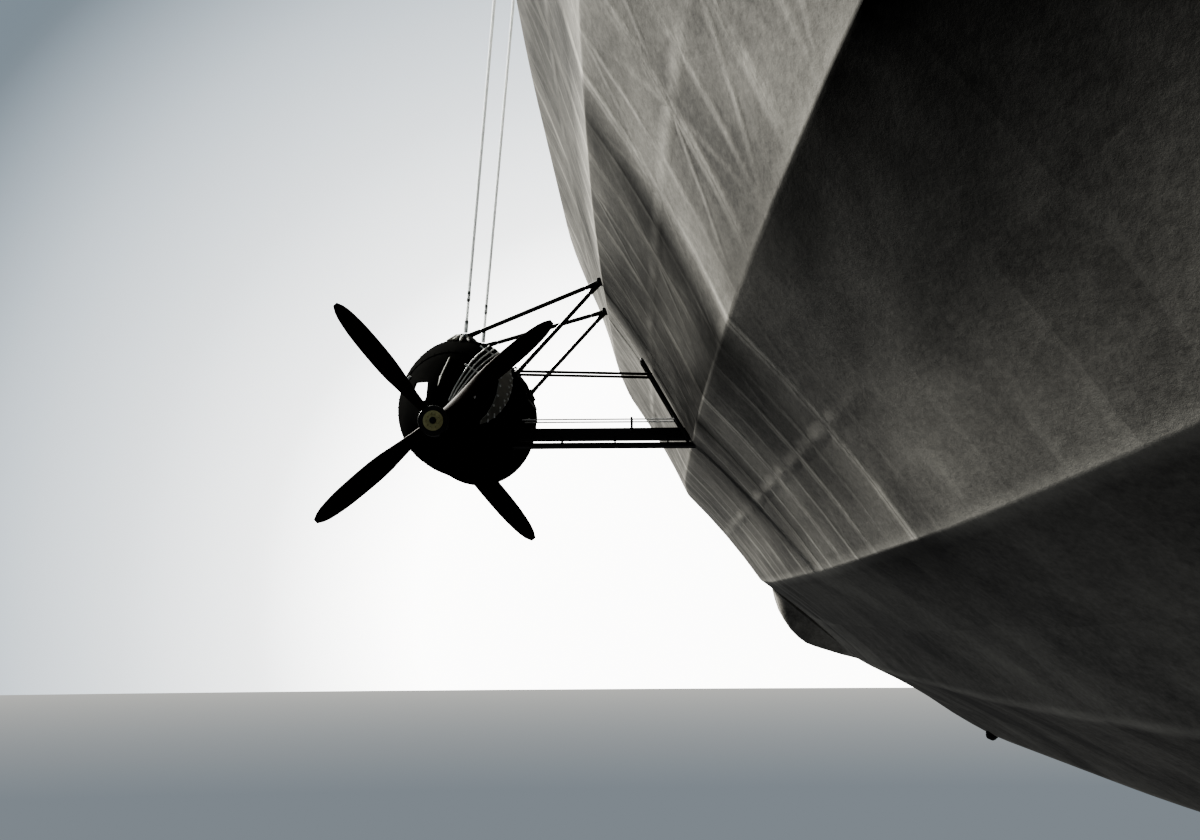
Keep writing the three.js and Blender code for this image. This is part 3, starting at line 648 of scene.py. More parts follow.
def cover_ring(station):
    """Corners of the cloth on one ring: full at the ridges and drawn in between them."""
    radius = hull_radius(station)
    points = []
    for i in range(FACETS * FACET_STEPS):
        part = (i % FACET_STEPS) / FACET_STEPS
        degrees = HALF_FACET * (1 + 2 * i / FACET_STEPS)
        off_middle = math.radians(HALF_FACET * (2 * part - 1))
        chord = radius * math.cos(math.radians(HALF_FACET)) / math.cos(off_middle)
        hollow = 4 * part * (1 - part) * CLOTH_HOLLOW * radius
        points.append(polar(station, chord - hollow, degrees))
    return points


def ring_stations(first, last, step):
    """Stations that keep time with the rings, with the ends of the section."""
    lowest = math.ceil((first - NEAR_RING) / step + 0.3)
    highest = math.floor((last - NEAR_RING) / step - 0.3)
    inner = [NEAR_RING + i * step for i in range(lowest, highest + 1)]
    return [first, *inner, last]


# Painted shade and soot stains on the cover, the same to port and to starboard: first and last station,
# upper and lower degrees, strength at each of those two, how far it rises and falls at its ends
PAINTED_SHADE_AND_STAINS = [
    # Painted shade on the facet below the catwalk's ridge, darkest along the ridge, where the drawn-in
    # cloth faces down away from the light
    (126, 166, -35.25, -44.5, 1.3, -0.1, 26, 9), (93, 150, -35.25, -42.6, 0.6, 0.3, 6, 14),
    (94, 150, -37, -40.5, -0.1, -0.05, 4, 14),
    # Bays of that facet between its wide pale bands
    (98.7, 101.3, -35.25, -42.6, 0.15, 0.35, 1, 1), (98.7, 101.3, -37, -40.5, 0.2, 0.2, 1, 1),
    (101.5, 104, -35.25, -40.1, -0.2, -0.1, 1, 1), (104.3, 106.7, -35.25, -42.6, 0.4, 0.3, 1, 1),
    (107.3, 112, -35.25, -42.6, -0.1, -0.1, 1, 1), (101, 107, -42.3, -42.7, 0.15, 0.15, 1.5, 1.5),
    (112.5, 121.9, -35.25, -42.6, 0.36, 0.12, 6, 0.5),
    # The dark facet above the catwalk ends sharply at a ring, and its upper edge is paler
    (99, 122.05, -25.3, -34.95, 0.85, 0.98, 0.5, 0.5), (106.5, 119, -24.9, -27.6, -0.2, -0.15, 3, 1),
    (121.95, 134, -30.1, -34.95, 0.05, 0.75, 0.5, 9), (86, 170, -14.8, -24.8, 0.6, 0.6, 6, 6),
    # Streaks below the ridge at -45 and farther aft
    (104, 125, -45.2, -47.6, 0.45, 0.1, 10, 3), (112, 166, -45.2, -51, 0.35, 0.0, 9, 9),
    (166, 212, -44.8, -56, 0.7, 0.1, 9, 9), (182, 215, -34, -44, 0.35, 0.1, 6, 6),
    (88, 99, -35, -45, 0.25, 0.05, 4, 4),
]
# Where the cloth is doped thick and the frame hardly shows, laid out as the stains are
THICK_DOPE = [(122.5, 160, -35, -45, 1, 1, 4, 7), (84, 160, -45.4, -70, 1, 1, 6, 6)]
# Degrees that a mark runs on over its upper edge
MARK_SPILL = 0.3


def paint_marks(piece, name, table):
    """Marks each corner with the strength of a table, from where it lies."""
    strengths = []
    for corner in piece.data.vertices:
        x, y, z = corner.co
        station = ORIGIN_STATION - x / REAL
        degrees = math.degrees(math.atan2(z, abs(y)))
        amount = 0
        for first, last, upper, lower, at_upper, at_lower, rise, fall in table:
            if lower <= degrees <= upper + MARK_SPILL:
                along = max(0, min(1, (station - first) / rise, (last - station) / fall))
                down = min(1, (degrees - lower) / (upper - lower))
                amount += along * (down * at_upper + (1 - down) * at_lower)
        strengths.append(amount)
    marks = piece.data.attributes.new(name, "FLOAT", "POINT")
    marks.data.foreach_set("value", strengths)


def build_cover(solid, first, last, step):
    rings = [cover_ring(station) for station in ring_stations(first, last, step)]
    piece = skin_over(solid + "_cover", rings, closed=(False, solid == "hull_tail"))
    mesh = bmesh.from_edit_mesh(piece.data)
    order = mesh.verts.layers.int["order"]

    def along_ridge(edge):
        start, end = edge.verts
        on_ridge = start[order] % FACET_STEPS == 0 and start[order] == end[order]
        return on_ridge and abs(start.co.x - end.co.x) > 0.001

    select_where(piece, "EDGE", along_ridge)
    bpy.ops.mesh.bevel(offset=RIDGE_BEVEL * REAL, segments=2, affect="EDGES")
    change(piece, "SOLIDIFY", thickness=COVER_THICKNESS * REAL, offset=-1)
    # The soot marks hold painted shade as well as soot stains
    paint_marks(piece, "soot", PAINTED_SHADE_AND_STAINS)
    paint_marks(piece, "thick_dope", THICK_DOPE)
    complete(piece, COTTON, "hull", (solid,), angle=9)


for section in HULL_SECTIONS:
    build_cover(*section)


# Promenade window bays: they step out below the ridge at -45 degrees and run out at -56
BAY_FROM = 57
BAY_TO = 72
BAY_RISE = 1.6
BAY_STAND = 0.66
# Outline down the bay: degrees, share of the stand, distance off the ridge radius
BAY_OUTLINE = [
    (-46.2, 0, -0.04), (-46.9, 0.12, -0.02), (-47.8, 0.46, -0.03), (-48.8, 0.78, -0.04),
    (-49.8, 0.95, -0.05), (-50.8, 1.0, -0.05), (-51.6, 0.98, -0.05), (-52.4, 0.84, -0.045),
    (-54.6, 0.4, -0.03), (-56.4, 0, -0.02), (-56.6, 0, -0.25), (-51, 0, -0.3), (-46.4, 0, -0.25),
]
PANE_FROM = 59.2
PANE_PITCH = 1.9
PANE_LENGTH = 1.5
PANE_COUNT = 6
PANE_FACE = (-52.4, -54.6)
PANE_FRAME = 0.1
PANE_PUTTY = 0.04
PANE_DEPTH = 0.05
# Faces of the bay that lie nearer the axis than this share of the ridge radius are inside
BAY_INSIDE = 0.985
# Places of the rings at each end of a bay
BAY_ENDS = [0, 0.3, 0.6, 0.9, 1.2, BAY_RISE]


def bay_ring(station, side):
    rise = min(1, (station - BAY_FROM) / BAY_RISE, (BAY_TO - station) / BAY_RISE)
    stand = BAY_STAND * (3 * rise**2 - 2 * rise**3)
    radius = frame_radius(station)
    points = []
    for degrees, share, off in BAY_OUTLINE:
        reach = radius + off + share * stand
        points.append(polar(station, reach, degrees if side > 0 else 180 - degrees))
    return points


def build_window_bay(side, name):
    stations = [BAY_FROM + end for end in BAY_ENDS]
    for i in range(PANE_COUNT):
        stations += [PANE_FROM + i * PANE_PITCH, PANE_FROM + i * PANE_PITCH + PANE_LENGTH]
    stations += [BAY_TO - end for end in reversed(BAY_ENDS)]
    piece = skin_over(name, [bay_ring(s, side) for s in stations])
    low, high = sorted(math.radians(d) for d in PANE_FACE)

    def is_pane(face):
        middle = face.calc_center_median()
        station = ORIGIN_STATION - middle.x / REAL
        turn = math.atan2(middle.z, abs(middle.y))
        if not low < turn < high or len(face.verts) != 4:
            return False
        if math.hypot(middle.y, middle.z) < frame_radius(station) * REAL * BAY_INSIDE:
            return False
        return any(
            abs(station - PANE_FROM - i * PANE_PITCH - PANE_LENGTH / 2) < 0.1
            for i in range(PANE_COUNT)
        )

    select_where(piece, "FACE", is_pane)
    bpy.ops.mesh.inset(thickness=PANE_FRAME * REAL, depth=0, use_individual=True)
    bpy.ops.mesh.inset(thickness=PANE_PUTTY * REAL, depth=-PANE_DEPTH * REAL, use_individual=True)
    mesh = bmesh.from_edit_mesh(piece.data)
    mesh.faces.index_update()
    panes = [face.index for face in mesh.faces if face.select]
    complete(piece, COTTON, "hull", angle=25)
    piece.data.materials.append(GLASS)
    for pane in panes:
        piece.data.polygons[pane].material_index = 1


build_window_bay(1, "promenade_bay_port")
build_window_bay(-1, "promenade_bay_starboard")


# Engine cars


class CarPlace:
    """Where one car hangs: its side, its rings and its middle, in real metres."""

    def __init__(self, side, shift, root_ridge):
        self.side, self.shift, self.root_ridge = side, shift, root_ridge
        self.near, self.far = NEAR_RING + shift, FAR_RING + shift
        self.root = self.ridge(self.near, root_ridge)
        self.middle = (self.root[0] + MIDDLE_FROM_ROOT, self.root[1] + MIDDLE_ABOVE_ROOT)

    def ridge(self, station, degrees):
        turn = math.radians(degrees)
        radius = frame_radius(station)
        return radius * math.cos(turn), radius * math.sin(turn)

    def at(self, station, port, up):
        return spot(station, self.side * port, up)


# The port fore car is modelled, and the other three copy its pieces
MODEL_CAR = CARS[0][0]
CAR_PORT, CAR_UP = CarPlace(*CARS[0][1:]).middle
CAR_SIDES = 48
CAR_WALL = 0.035
# Places and depths of the lip round the mouth, then the places of the plain rings
CAR_LIP = [(0.35, 0.16), (0.06, 0.12), (0, 0.06)]
CAR_RINGS = [
    0.02, 0.1, 0.22, 0.4, 0.65, 0.95, 1.3, 1.8, 2.4, 3.2, 4, 5, 6, 7, 7.6, 8.1, 8.6, 9, 9.3, 9.6,
    9.85, 10.1, 10.3, 10.5,
]
SIDE_WINDOWS = ((1.5, 2.4), (2.8, 5.8))
SIDE_WINDOW_UP = 0.54
SIDE_WINDOW_HEIGHT = 0.48
REAR_WINDOW_PLACE = 9.6
REAR_WINDOW_PORTS = (-0.33, 0.68)
REAR_WINDOW_UP = 0.08
REAR_WINDOW_SIZE = (0.28, 0.4)
# Front edge, rear edge, sill and lintel
DOORWAY = (6.55, 7.25, -0.5, 0.75)
# How far the window frames stand proud of the skin, and past the windows
FRAME_LIFT = 0.012
FRAME_MARGIN = 0.03
# Hoops: place, width, how proud
HOOPS = [
    (0.5, 0.1, 0.016), (1.3, 0.06, 0.012), (2.6, 0.06, 0.012), (6.05, 0.06, 0.012),
    (7.6, 0.07, 0.01), (8.9, 0.05, 0.01), (10.4, 0.14, 0.02),
]
# Rows of louvres: degrees of the middle, place of the first, number
LOUVRES = [(2, 2.9, 14), (62, 6.3, 6), (22, 6.3, 6), (118, 6.3, 6), (178, 2.9, 14)]
LOUVRE_PITCH = 0.2
RIVET_RINGS = (6.0, 6.1, 7.54, 7.66, 8.86, 8.94)
EXHAUSTS = [3.4 + i * 0.34 for i in range(8)]
SHUTTERS = [-0.75 + i * 0.15 for i in range(11)]
# Degrees of the saddles under the posts and the shoulder joints
SADDLES = (92, 155)
OIL_PIPES = (116, 121, 126)
# Place and bend in degrees along each oil pipe
OIL_PIPE_ROUTE = [(7.8, 2), (8.3, 2), (8.8, 1), (9.2, 0), (9.6, 0), (10, 1), (10.3, 5)]
OIL_PIPE_CLIPS = (8.2, 9.3)
# Bosses beside the pipes: place, degrees, radius
OIL_BOSSES = ((9.77, 148, 0.07), (9.1, 38, 0.05))
# Pale plate that stands for a painted reflection down the rounded cone: place, then the degrees of its
# two edges
REFLECTION_PLATE = [
    (7.75, 132, 140), (7.95, 133, 148), (8.15, 134, 156), (8.35, 136, 162), (8.55, 140, 167),
    (8.75, 146, 172), (8.95, 153, 176), (9.15, 161, 180), (9.35, 169, 184), (9.55, 177, 187),
    (9.75, 184, 189),
]
PLATE_STUDS = (0.1, 0.75, 0.92)
# Folds of a stay's cover: degrees, how far aft the fold ends
COVER_FOLDS = [(92, 0.4), (84, 0.28), (100, 0.3), (78, 0.17), (106, 0.18)]

# Piece of the model car, its name after the car's, body, slot and the solid it stands for
car_pieces = []


def complete_part(piece, part, finish, slot, ease=0, body="hull", solid=None, angle=30):
    """Completes a piece of the model car, and keeps it for the other cars."""
    nodes = (f"{MODEL_CAR}_{solid}",) if solid else ()
    complete(piece, finish, body.format(MODEL_CAR), nodes, angle, ease)
    car_pieces.append((piece, part, body, slot, solid))


def open_part(part):
    return open_piece(f"{MODEL_CAR}_{part}")


def car_spot(aft, port, up):
    return spot(CAR_NOSE + aft, CAR_PORT + port, CAR_UP + up)


def on_car(aft, turn_degrees, lift=0.0):
    """A point on the car's skin: 0 degrees is to port and 90 is on top."""
    wide, high, drift = (smooth_row(CAR_ROWS, aft, column) for column in (1, 2, 3))
    turn = math.radians(turn_degrees)
    return car_spot(
        aft,
        drift * HUB_DRIFT[0] + (wide + lift) * math.cos(turn),
        drift * HUB_DRIFT[1] + (high + lift) * math.sin(turn),
    )


def at_height(aft, up, side):
    """A point just proud of the car's skin at a height over its middle, on one side."""
    turn = math.degrees(math.asin(up / smooth_row(CAR_ROWS, aft, 2)))
    return on_car(aft, turn if side == 0 else side - turn, FRAME_LIFT)


def car_ring(aft, depth=0):
    """Corners round the car at a distance aft of its nose, in by a depth."""
    return [on_car(aft, 360 * i / CAR_SIDES, -depth) for i in range(CAR_SIDES)]


def window_cutters():
    """Blocks that cut the windows and the doorway."""
    cutter = open_piece("window_cutters")
    for fore, aft in SIDE_WINDOWS:
        middle = car_spot((fore + aft) / 2, 0, SIDE_WINDOW_UP)
        add_block(middle, aft - fore, 4, SIDE_WINDOW_HEIGHT)
    for port in REAR_WINDOW_PORTS:
        add_block(car_spot(REAR_WINDOW_PLACE, port, REAR_WINDOW_UP), 1.6, *REAR_WINDOW_SIZE)
    start, end, low, high = DOORWAY
    add_block(car_spot((start + end) / 2, -1.3, (low + high) / 2), end - start, 0.9, high - low)
    return cutter


def build_car_shell():
    rings = [car_ring(*row) for row in CAR_LIP] + [car_ring(aft) for aft in CAR_RINGS]
    piece = skin_over(MODEL_CAR + "_shell_plates", rings, closed=(False, False))
    change(piece, "SOLIDIFY", thickness=CAR_WALL * REAL, offset=-1)
    cut_away(piece, window_cutters())
    complete_part(piece, "shell", ENAMEL, "black_paint", solid="shell", angle=28)


def build_hoops():
    hoops = []
    for aft, width, proud in HOOPS:
        fore, back = aft - width / 2, aft + width / 2
        corners = [(fore, 0.01), (fore, -proud), (back, -proud), (back, 0.01)]
        rings = [car_ring(*corner) for corner in corners]
        hoops.append(skin_over(f"hoop_{len(hoops)}", rings, closed=(False, False)))
        to_object(hoops[-1])
    hoop = join(hoops, MODEL_CAR + "_hoops")
    complete_part(hoop, "hoops", ENAMEL, "black_paint", angle=28)


def build_frames():
    """Rounded frames that stand proud of each window and of the doorway."""
    frames = open_part("frames")
    for side in (0, 180):
        for window in SIDE_WINDOWS:
            fore, back = window[0] - FRAME_MARGIN, window[1] + FRAME_MARGIN
            corners = []
            for aft, over in ((fore, -0.5), (back, -0.5), (back, 0.5), (fore, 0.5)):
                up = SIDE_WINDOW_UP + over * (SIDE_WINDOW_HEIGHT + 2 * FRAME_MARGIN)
                corners.append(at_height(aft, up, side))
            add_route(corners, 0.026, 10, closed=True)
    start, end, low, high = DOORWAY
    corners = [(start, low), (end, low), (end, high), (start, high)]
    add_route([at_height(aft, up, 180) for aft, up in corners], 0.03, 10, closed=True)
    # Hand hold over the doorway, on two short feet
    start, end = start + 0.05, end - 0.05
    add_tube(on_car(start, 145, 0.08), on_car(end, 145, 0.08), 0.02, 8)
    for aft in (start, end):
        add_tube(on_car(aft, 145, -0.02), on_car(aft, 145, 0.08), 0.018, 8)
    complete_part(frames, "frames", TUBE, "tube_steel", 0.006)


def build_car_details():
    # Louvres let the warm air out of both flanks and the top
    louvres = open_part("louvres")
    for middle, first, count in LOUVRES:
        for i in range(count):
            aft = first + i * LOUVRE_PITCH
            add_tube(on_car(aft, middle - 5, 0.005), on_car(aft, middle + 5, 0.005), 0.045, 8)
    complete_part(louvres, "louvres", ENAMEL, "black_paint", 0.01)

    # Low domed rivets run along the hoops of the aft cone and the flank
    rivets = open_part("rivets")
    for aft in RIVET_RINGS:
        for i in range(CAR_SIDES):
            turn = 360 * (i + 0.5) / CAR_SIDES
            add_tube(on_car(aft, turn, 0.002), on_car(aft, turn, 0.014), 0.016, 6, 0.011)
    complete_part(rivets, "rivets", ENAMEL, "black_paint")

    # Exhaust stubs on the outboard flank
    exhausts = open_part("exhausts")
    for aft in EXHAUSTS:
        tip = on_car(aft + 0.1, 52, 0.09)
        add_tube(on_car(aft, 50, -0.05), tip, 0.045, 12)
        add_tube(tip, tip + Vector((-0.14 * REAL, 0, 0.01 * REAL)), 0.047, 12, 0.04)
    complete_part(exhausts, "exhausts", CASTING, "cast_metal", 0.008)

    # Upright shutter blades in the mouth, ahead of the radiator
    shutters = open_part("shutters")
    for port in SHUTTERS:
        high = 0.8 * math.sqrt(max(0.05, 1 - (port / 0.85) ** 2))
        add_block(car_spot(0.3, port, 0), 0.1, 0.02, 2 * high, (0, 0, math.radians(28)))
    add_tube(car_spot(0.3, -0.86, 0), car_spot(0.3, 0.86, 0), 0.025, 10)
    complete_part(shutters, "shutters", CASTING, "cast_metal", 0.006)

    # Bolted saddles on the skin under the posts and the shoulder joints
    brackets = open_part("brackets")
    for station in (NEAR_RING, FAR_RING):
        aft = station - CAR_NOSE
        for turn in SADDLES:
            add_tube(on_car(aft, turn, -0.02), on_car(aft, turn, 0.05), 0.17, 20, 0.12)
            for place in (aft - 0.1, aft + 0.1):
                for off in (turn - 4.5, turn + 4.5):
                    add_tube(on_car(place, off, 0.01), on_car(place, off, 0.06), 0.018, 6)
    complete_part(brackets, "brackets", ENAMEL, "black_paint", 0.012)

    # Three oil pipes run down the aft cone to the gear case, held by two clips
    pipes = open_part("oil_pipes")
    for turn in OIL_PIPES:
        add_route([on_car(aft, turn + bend, 0.035) for aft, bend in OIL_PIPE_ROUTE], 0.017, 10)
    for aft in OIL_PIPE_CLIPS:
        add_tube(on_car(aft, 112, 0.02), on_car(aft, 130, 0.02), 0.024, 8)
    for aft, turn, size in OIL_BOSSES:
        add_tube(on_car(aft, turn, -0.01), on_car(aft, turn, 0.04), size, 16, size * 0.6)
    complete_part(pipes, "oil_pipes", WIRE, "cast_metal", 0.005)

    # A pale plate curves down the inboard side of the cone, with pale rivets across it. The plate is a
    # painted reflection along the rounded cone, and the rivets its painted glints
    rings = []
    for aft, inner, outer in REFLECTION_PLATE:
        across = [inner + (outer - inner) * i / 6 for i in range(7)]
        top = [on_car(aft, turn, 0.026) for turn in across]
        rings.append(top + [on_car(aft, turn, 0.004) for turn in reversed(across)])
    plate = skin_over(MODEL_CAR + "_reflection_plate", rings)
    complete_part(plate, "reflection_plate", ALUMINIUM, "cast_metal", angle=28)
    studs = open_part("plate_rivets")
    for aft, inner, outer in REFLECTION_PLATE[1:-1]:
        for share in PLATE_STUDS:
            turn = inner + (outer - inner) * share
            add_tube(on_car(aft, turn, 0.02), on_car(aft, turn, 0.05), 0.028, 8, 0.018)
    complete_part(studs, "plate_rivets", WIRE, "cast_metal")

    # The neck and cap of the oil filler lie on top of the cone
    filler = open_part("oil_filler")
    neck = on_car(9.85, 92, 0.05)
    add_tube(on_car(9.2, 92, 0.02), neck, 0.03, 14, 0.055)
    add_tube(neck, on_car(10.1, 92, 0.06), 0.065, 14, 0.05)
    complete_part(filler, "oil_filler", OLIVE, "cast_metal", 0.006)

    # A pale canvas cover is laced over the foot of each stay, and hangs down the aft side
    covers = open_part("stay_covers")
    for station in (NEAR_RING, FAR_RING):
        aft = station - CAR_NOSE
        for turn, reach in COVER_FOLDS:
            head = on_car(aft - 0.02, turn * 0.35 + 92 * 0.65, 0.07)
            add_tube(head, on_car(aft + reach, turn, 0.012), 0.055, 10, 0.02)
        add_tube(on_car(aft, 92, 0.02), on_car(aft, 92, 0.12), 0.1, 14, 0.06)
    complete_part(covers, "stay_covers", CANVAS, "doped_fabric", 0.01)


build_car_shell()
build_hoops()
build_frames()
build_car_details()


# Propeller, in real metres about its hub

HUB = car_spot(HUB_AFT, *HUB_DRIFT)
FORWARD = Vector((REAL, 0, 0))
PROPELLER = "{}_propeller_body"
# Blade rows: distance off the axis, chord, thickness, twist in degrees
BLADE_ROWS = [
    (0.2, 0.24, 0.2, 62), (0.7, 0.34, 0.15, 48), (1.4, 0.46, 0.1, 32), (2.2, 0.42, 0.06, 22),
    (2.8, 0.28, 0.035, 18), (3, 0.1, 0.02, 17),
]
BLADE_RINGS = [0.2, 0.32, 0.5, 0.7, 0.95, 1.2, 1.45, 1.7, 1.95, 2.2, 2.4, 2.6, 2.75, 2.88, 2.96, 3]
BLADE_SIDES = 20
BLADES = 4
FIRST_BLADE = 50
# Hub tubes: start and end ahead of the hub, radius, sides, radius at the end
BOSS_TUBES = [
    (-0.2, 0.2, 0.3, 40, None), (0, 3.4, 0.1, 20, None), (0.2, 0.32, 0.24, 40, 0.16),
    (-0.3, -0.2, 0.07, 24, 0.055),
]
HUB_BOLTS = 10


def blade_ring(radius):
    """Corners round one section of the upright blade: flat behind and curved ahead."""
    chord, thick, twist = (smooth_row(BLADE_ROWS, radius, column) for column in (1, 2, 3))
    pitch = math.radians(twist)
    points = []
    for i in range(BLADE_SIDES):
        turn = 2 * math.pi * i / BLADE_SIDES
        along = -0.5 * math.cos(turn) * chord
        fullness = 1 if math.sin(turn) > 0 else 0.55
        off = 0.5 * math.sin(turn) * (1 - 0.25 * math.cos(turn)) * fullness * thick
        points.append(HUB + REAL * Vector((
            along * math.sin(pitch) + off * math.cos(pitch),
            along * math.cos(pitch) - off * math.sin(pitch),
            radius,
        )))
    return points


def build_propeller():
    """Four carved blades on a steel hub that carries a bolted brass plate."""
    blade = skin_over("blade", [blade_ring(radius) for radius in BLADE_RINGS])
    to_object(blade)
    uv = blade.data.uv_layers.new(name="along_blade")
    for loop in blade.data.loops:
        corner = blade.data.vertices[loop.vertex_index].co
        uv.data[loop.index].uv = (corner.z - HUB.z, corner.x - HUB.x)
    blades = [blade]
    while len(blades) < BLADES:
        blades.append(add_object("blade", blade.data.copy()))
    for i, each in enumerate(blades):
        turn = Matrix.Rotation(math.radians(FIRST_BLADE + 360 / BLADES * i), 4, "X")
        each.data.transform(Matrix.Translation(HUB) @ turn @ Matrix.Translation(-HUB))
    blade = join(blades, MODEL_CAR + "_blades")
    complete_part(blade, "blades", WALNUT, "laminated_wood", body=PROPELLER, solid="propeller")

    boss = open_part("boss")
    for start, end, radius, sides, tip in BOSS_TUBES:
        add_tube(HUB + start * FORWARD, HUB + end * FORWARD, radius, sides, tip)
    complete_part(boss, "boss", TUBE, "tube_steel", 0.02, PROPELLER)

    plate = open_part("hub_plate")
    add_tube(HUB - 0.235 * FORWARD, HUB - 0.2 * FORWARD, 0.2, 48, 0.19)
    for i in range(HUB_BOLTS):
        turn = 2 * math.pi * i / HUB_BOLTS
        bolt = HUB + REAL * 0.14 * Vector((0, math.cos(turn), math.sin(turn)))
        add_tube(bolt - 0.262 * FORWARD, bolt - 0.23 * FORWARD, 0.022, 6)
    complete_part(plate, "hub_plate", BRASS, "cast_metal", 0.006, PROPELLER)


build_propeller()


# Outriggers, catwalks and hand ropes, each built at its own car

REAR_CROWN = 1.37
FRONT_CROWN = 1.72
REAR_POST = 1.28
FRONT_POST = 1.4
CROWN_INBOARD = 0.05
SHOULDER = (-1.06, 0.57)
FACET_SHARE = 0.055
SOCKET = 0.35
# Turnbuckle at the foot of a stay: start and end along it, radius, sides
TURNBUCKLE = [(0.75, 0.95, 0.038, 8), (0.3, 0.8, 0.03, 10), (0.1, 0.35, 0.045, 8)]
# Catwalk: edges, height of its top over the root, depth of its beams and place of its hangers
CATWALK = (98.95, 99.5)
CATWALK_UP = 0.31
BEAM_DEPTH = 0.24
HANGERS = (0.5, 1.6, 2.7)
SLAT_PITCH = 0.14
DOOR_FRAME = (98.83, 99.64)
DOOR_FRAME_LIFT = 0.04
DOOR_FRAME_HEIGHT = 2.0
ROPE_OVER_WALK = 1.1
GUARD_OVER_WALK = 0.17


def build_outrigger(car, place, station, which):
    """Struts and stay at one ring, with their sockets and turnbuckles."""
    top = place.at(station, *place.ridge(station, place.root_ridge + 40))
    lower, upper = (place.ridge(station, place.root_ridge + turn) for turn in (10, 20))
    inboard = place.at(station, *(l + (u - l) * FACET_SHARE for l, u in zip(lower, upper)))
    port, up = place.middle
    crown_up, post_up = (REAR_CROWN, REAR_POST) if which == "rear" else (FRONT_CROWN, FRONT_POST)
    crown = place.at(station, port - CROWN_INBOARD, up + crown_up)
    shoulder = place.at(station, port + SHOULDER[0], up + SHOULDER[1])
    solid = f"{car}_outrigger_{which}"
    struts = open_piece(solid + "_struts")
    for end in (crown, shoulder):
        socket = SOCKET * REAL * (end - inboard).normalized()
        add_tube(inboard, inboard + socket, 0.06, 16, 0.045)
        add_tube(inboard + socket, end - socket, 0.045, 16)
        add_tube(end - socket, end, 0.045, 16, 0.06)
    add_tube(place.at(station, port - CROWN_INBOARD, up + post_up), crown, 0.09, 16, 0.06)
    for foot in (inboard, shoulder):
        add_block(foot, 0.2, 0.16, 0.16)
    complete(struts, TUBE, "hull", (solid,), ease=0.02)

    stay = open_piece(solid + "_stay")
    along = (top - crown).normalized() * REAL
    add_tube(crown + 0.9 * along, top, 0.032, 10)
    for start, end, radius, sides in TURNBUCKLE:
        add_tube(crown + start * along, crown + end * along, radius, sides)
    add_block(crown, 0.16, 0.1, 0.16)
    add_block(top, 0.18, 0.14, 0.18)
    complete(stay, SERVED, "hull", ease=0.01)


def build_catwalk(car, place):
    """Two side beams with slats across them, and a tube slung under each beam."""
    start, end = (station + place.shift for station in CATWALK)
    inner, outer = place.root[0] - 1, place.middle[0] - 0.9
    top = place.root[1] + CATWALK_UP
    under = top - BEAM_DEPTH
    tube_up = under - 0.11
    hangers = [place.root[0] + out for out in HANGERS]
    beams = open_piece(car + "_catwalk_beams")
    for station in (start + 0.03, end - 0.03):
        middle = place.at(station, (inner + outer) / 2, top - BEAM_DEPTH / 2)
        add_block(middle, 0.06, outer - inner, BEAM_DEPTH)
        add_tube(place.at(station, inner, tube_up), place.at(station, outer, tube_up), 0.05, 14)
        for port in hangers:
            add_tube(place.at(station, port, tube_up), place.at(station, port, under), 0.016, 8)
    for port in hangers:
        add_block(place.at((start + end) / 2, port, under + 0.05), end - start, 0.05, 0.05)
    complete(beams, TUBE, "hull", (car + "_catwalk",), ease=0.012)

    slats = open_piece(car + "_catwalk_slats")
    for i in range(int((outer - inner) / SLAT_PITCH)):
        port = inner + (i + 0.5) * SLAT_PITCH
        add_block(place.at((start + end) / 2, port, top - 0.035), end - start - 0.1, 0.09, 0.03)
    ease_edges(slats, 0.008, 1)
    complete(slats, PLANKS, "hull")


def build_handrail(car, place):
    """Tube frame round the door in the hull, with hand ropes and guard wires."""
    top = place.root[1] + CATWALK_UP
    rope_up = top + ROPE_OVER_WALK
    guard_up = top + GUARD_OVER_WALK
    stations = [station + place.shift for station in DOOR_FRAME]
    upper = place.ridge(stations[1], place.root_ridge + 10)
    lower = place.ridge(stations[1], place.root_ridge)
    facet = (upper[0] - lower[0], upper[1] - lower[1])
    length = math.hypot(*facet)

    def on_facet(share, lift=0):
        out = lift / length
        return lower[0] + facet[0] * share + facet[1] * out, lower[1] + facet[1] * share - facet[0] * out

    def facet_at(up):
        return on_facet((up - lower[1]) / facet[1])

    far = place.middle[0] - 1.05
    post = place.root[0] + 1.25
    foot = on_facet(0.02, DOOR_FRAME_LIFT)
    head = on_facet(DOOR_FRAME_HEIGHT / length, DOOR_FRAME_LIFT)
    tubes = open_piece(car + "_door_frame")
    for station in stations:
        add_tube(place.at(station, *foot), place.at(station, *head), 0.036, 14)
        low, high = place.at(station, post, top - 0.08), place.at(station, post, guard_up + 0.05)
        add_tube(low, high, 0.022, 10)
    add_tube(place.at(stations[0], *head), place.at(stations[1], *head), 0.034, 14)
    complete(tubes, TUBE, "hull", (car + "_handrail",), ease=0.01)

    # Height on the hull, height at the car, radius and sides
    lines = [
        ("_hand_ropes", ROPE, rope_up, rope_up + 0.08, 0.028, 12),
        ("_guard_wires", WIRE, guard_up, guard_up, 0.014, 8),
    ]
    for name, finish, up, car_up, radius, sides in lines:
        pair = open_piece(car + name)
        for station in stations:
            add_tube(place.at(station, *facet_at(up)), place.at(station, far, car_up), radius, sides)
        complete(pair, finish, "hull")


for car, side, shift, root_ridge in CARS:
    place = CarPlace(side, shift, root_ridge)
    build_outrigger(car, place, place.far, "front")
    build_outrigger(car, place, place.near, "rear")
    build_catwalk(car, place)
    build_handrail(car, place)


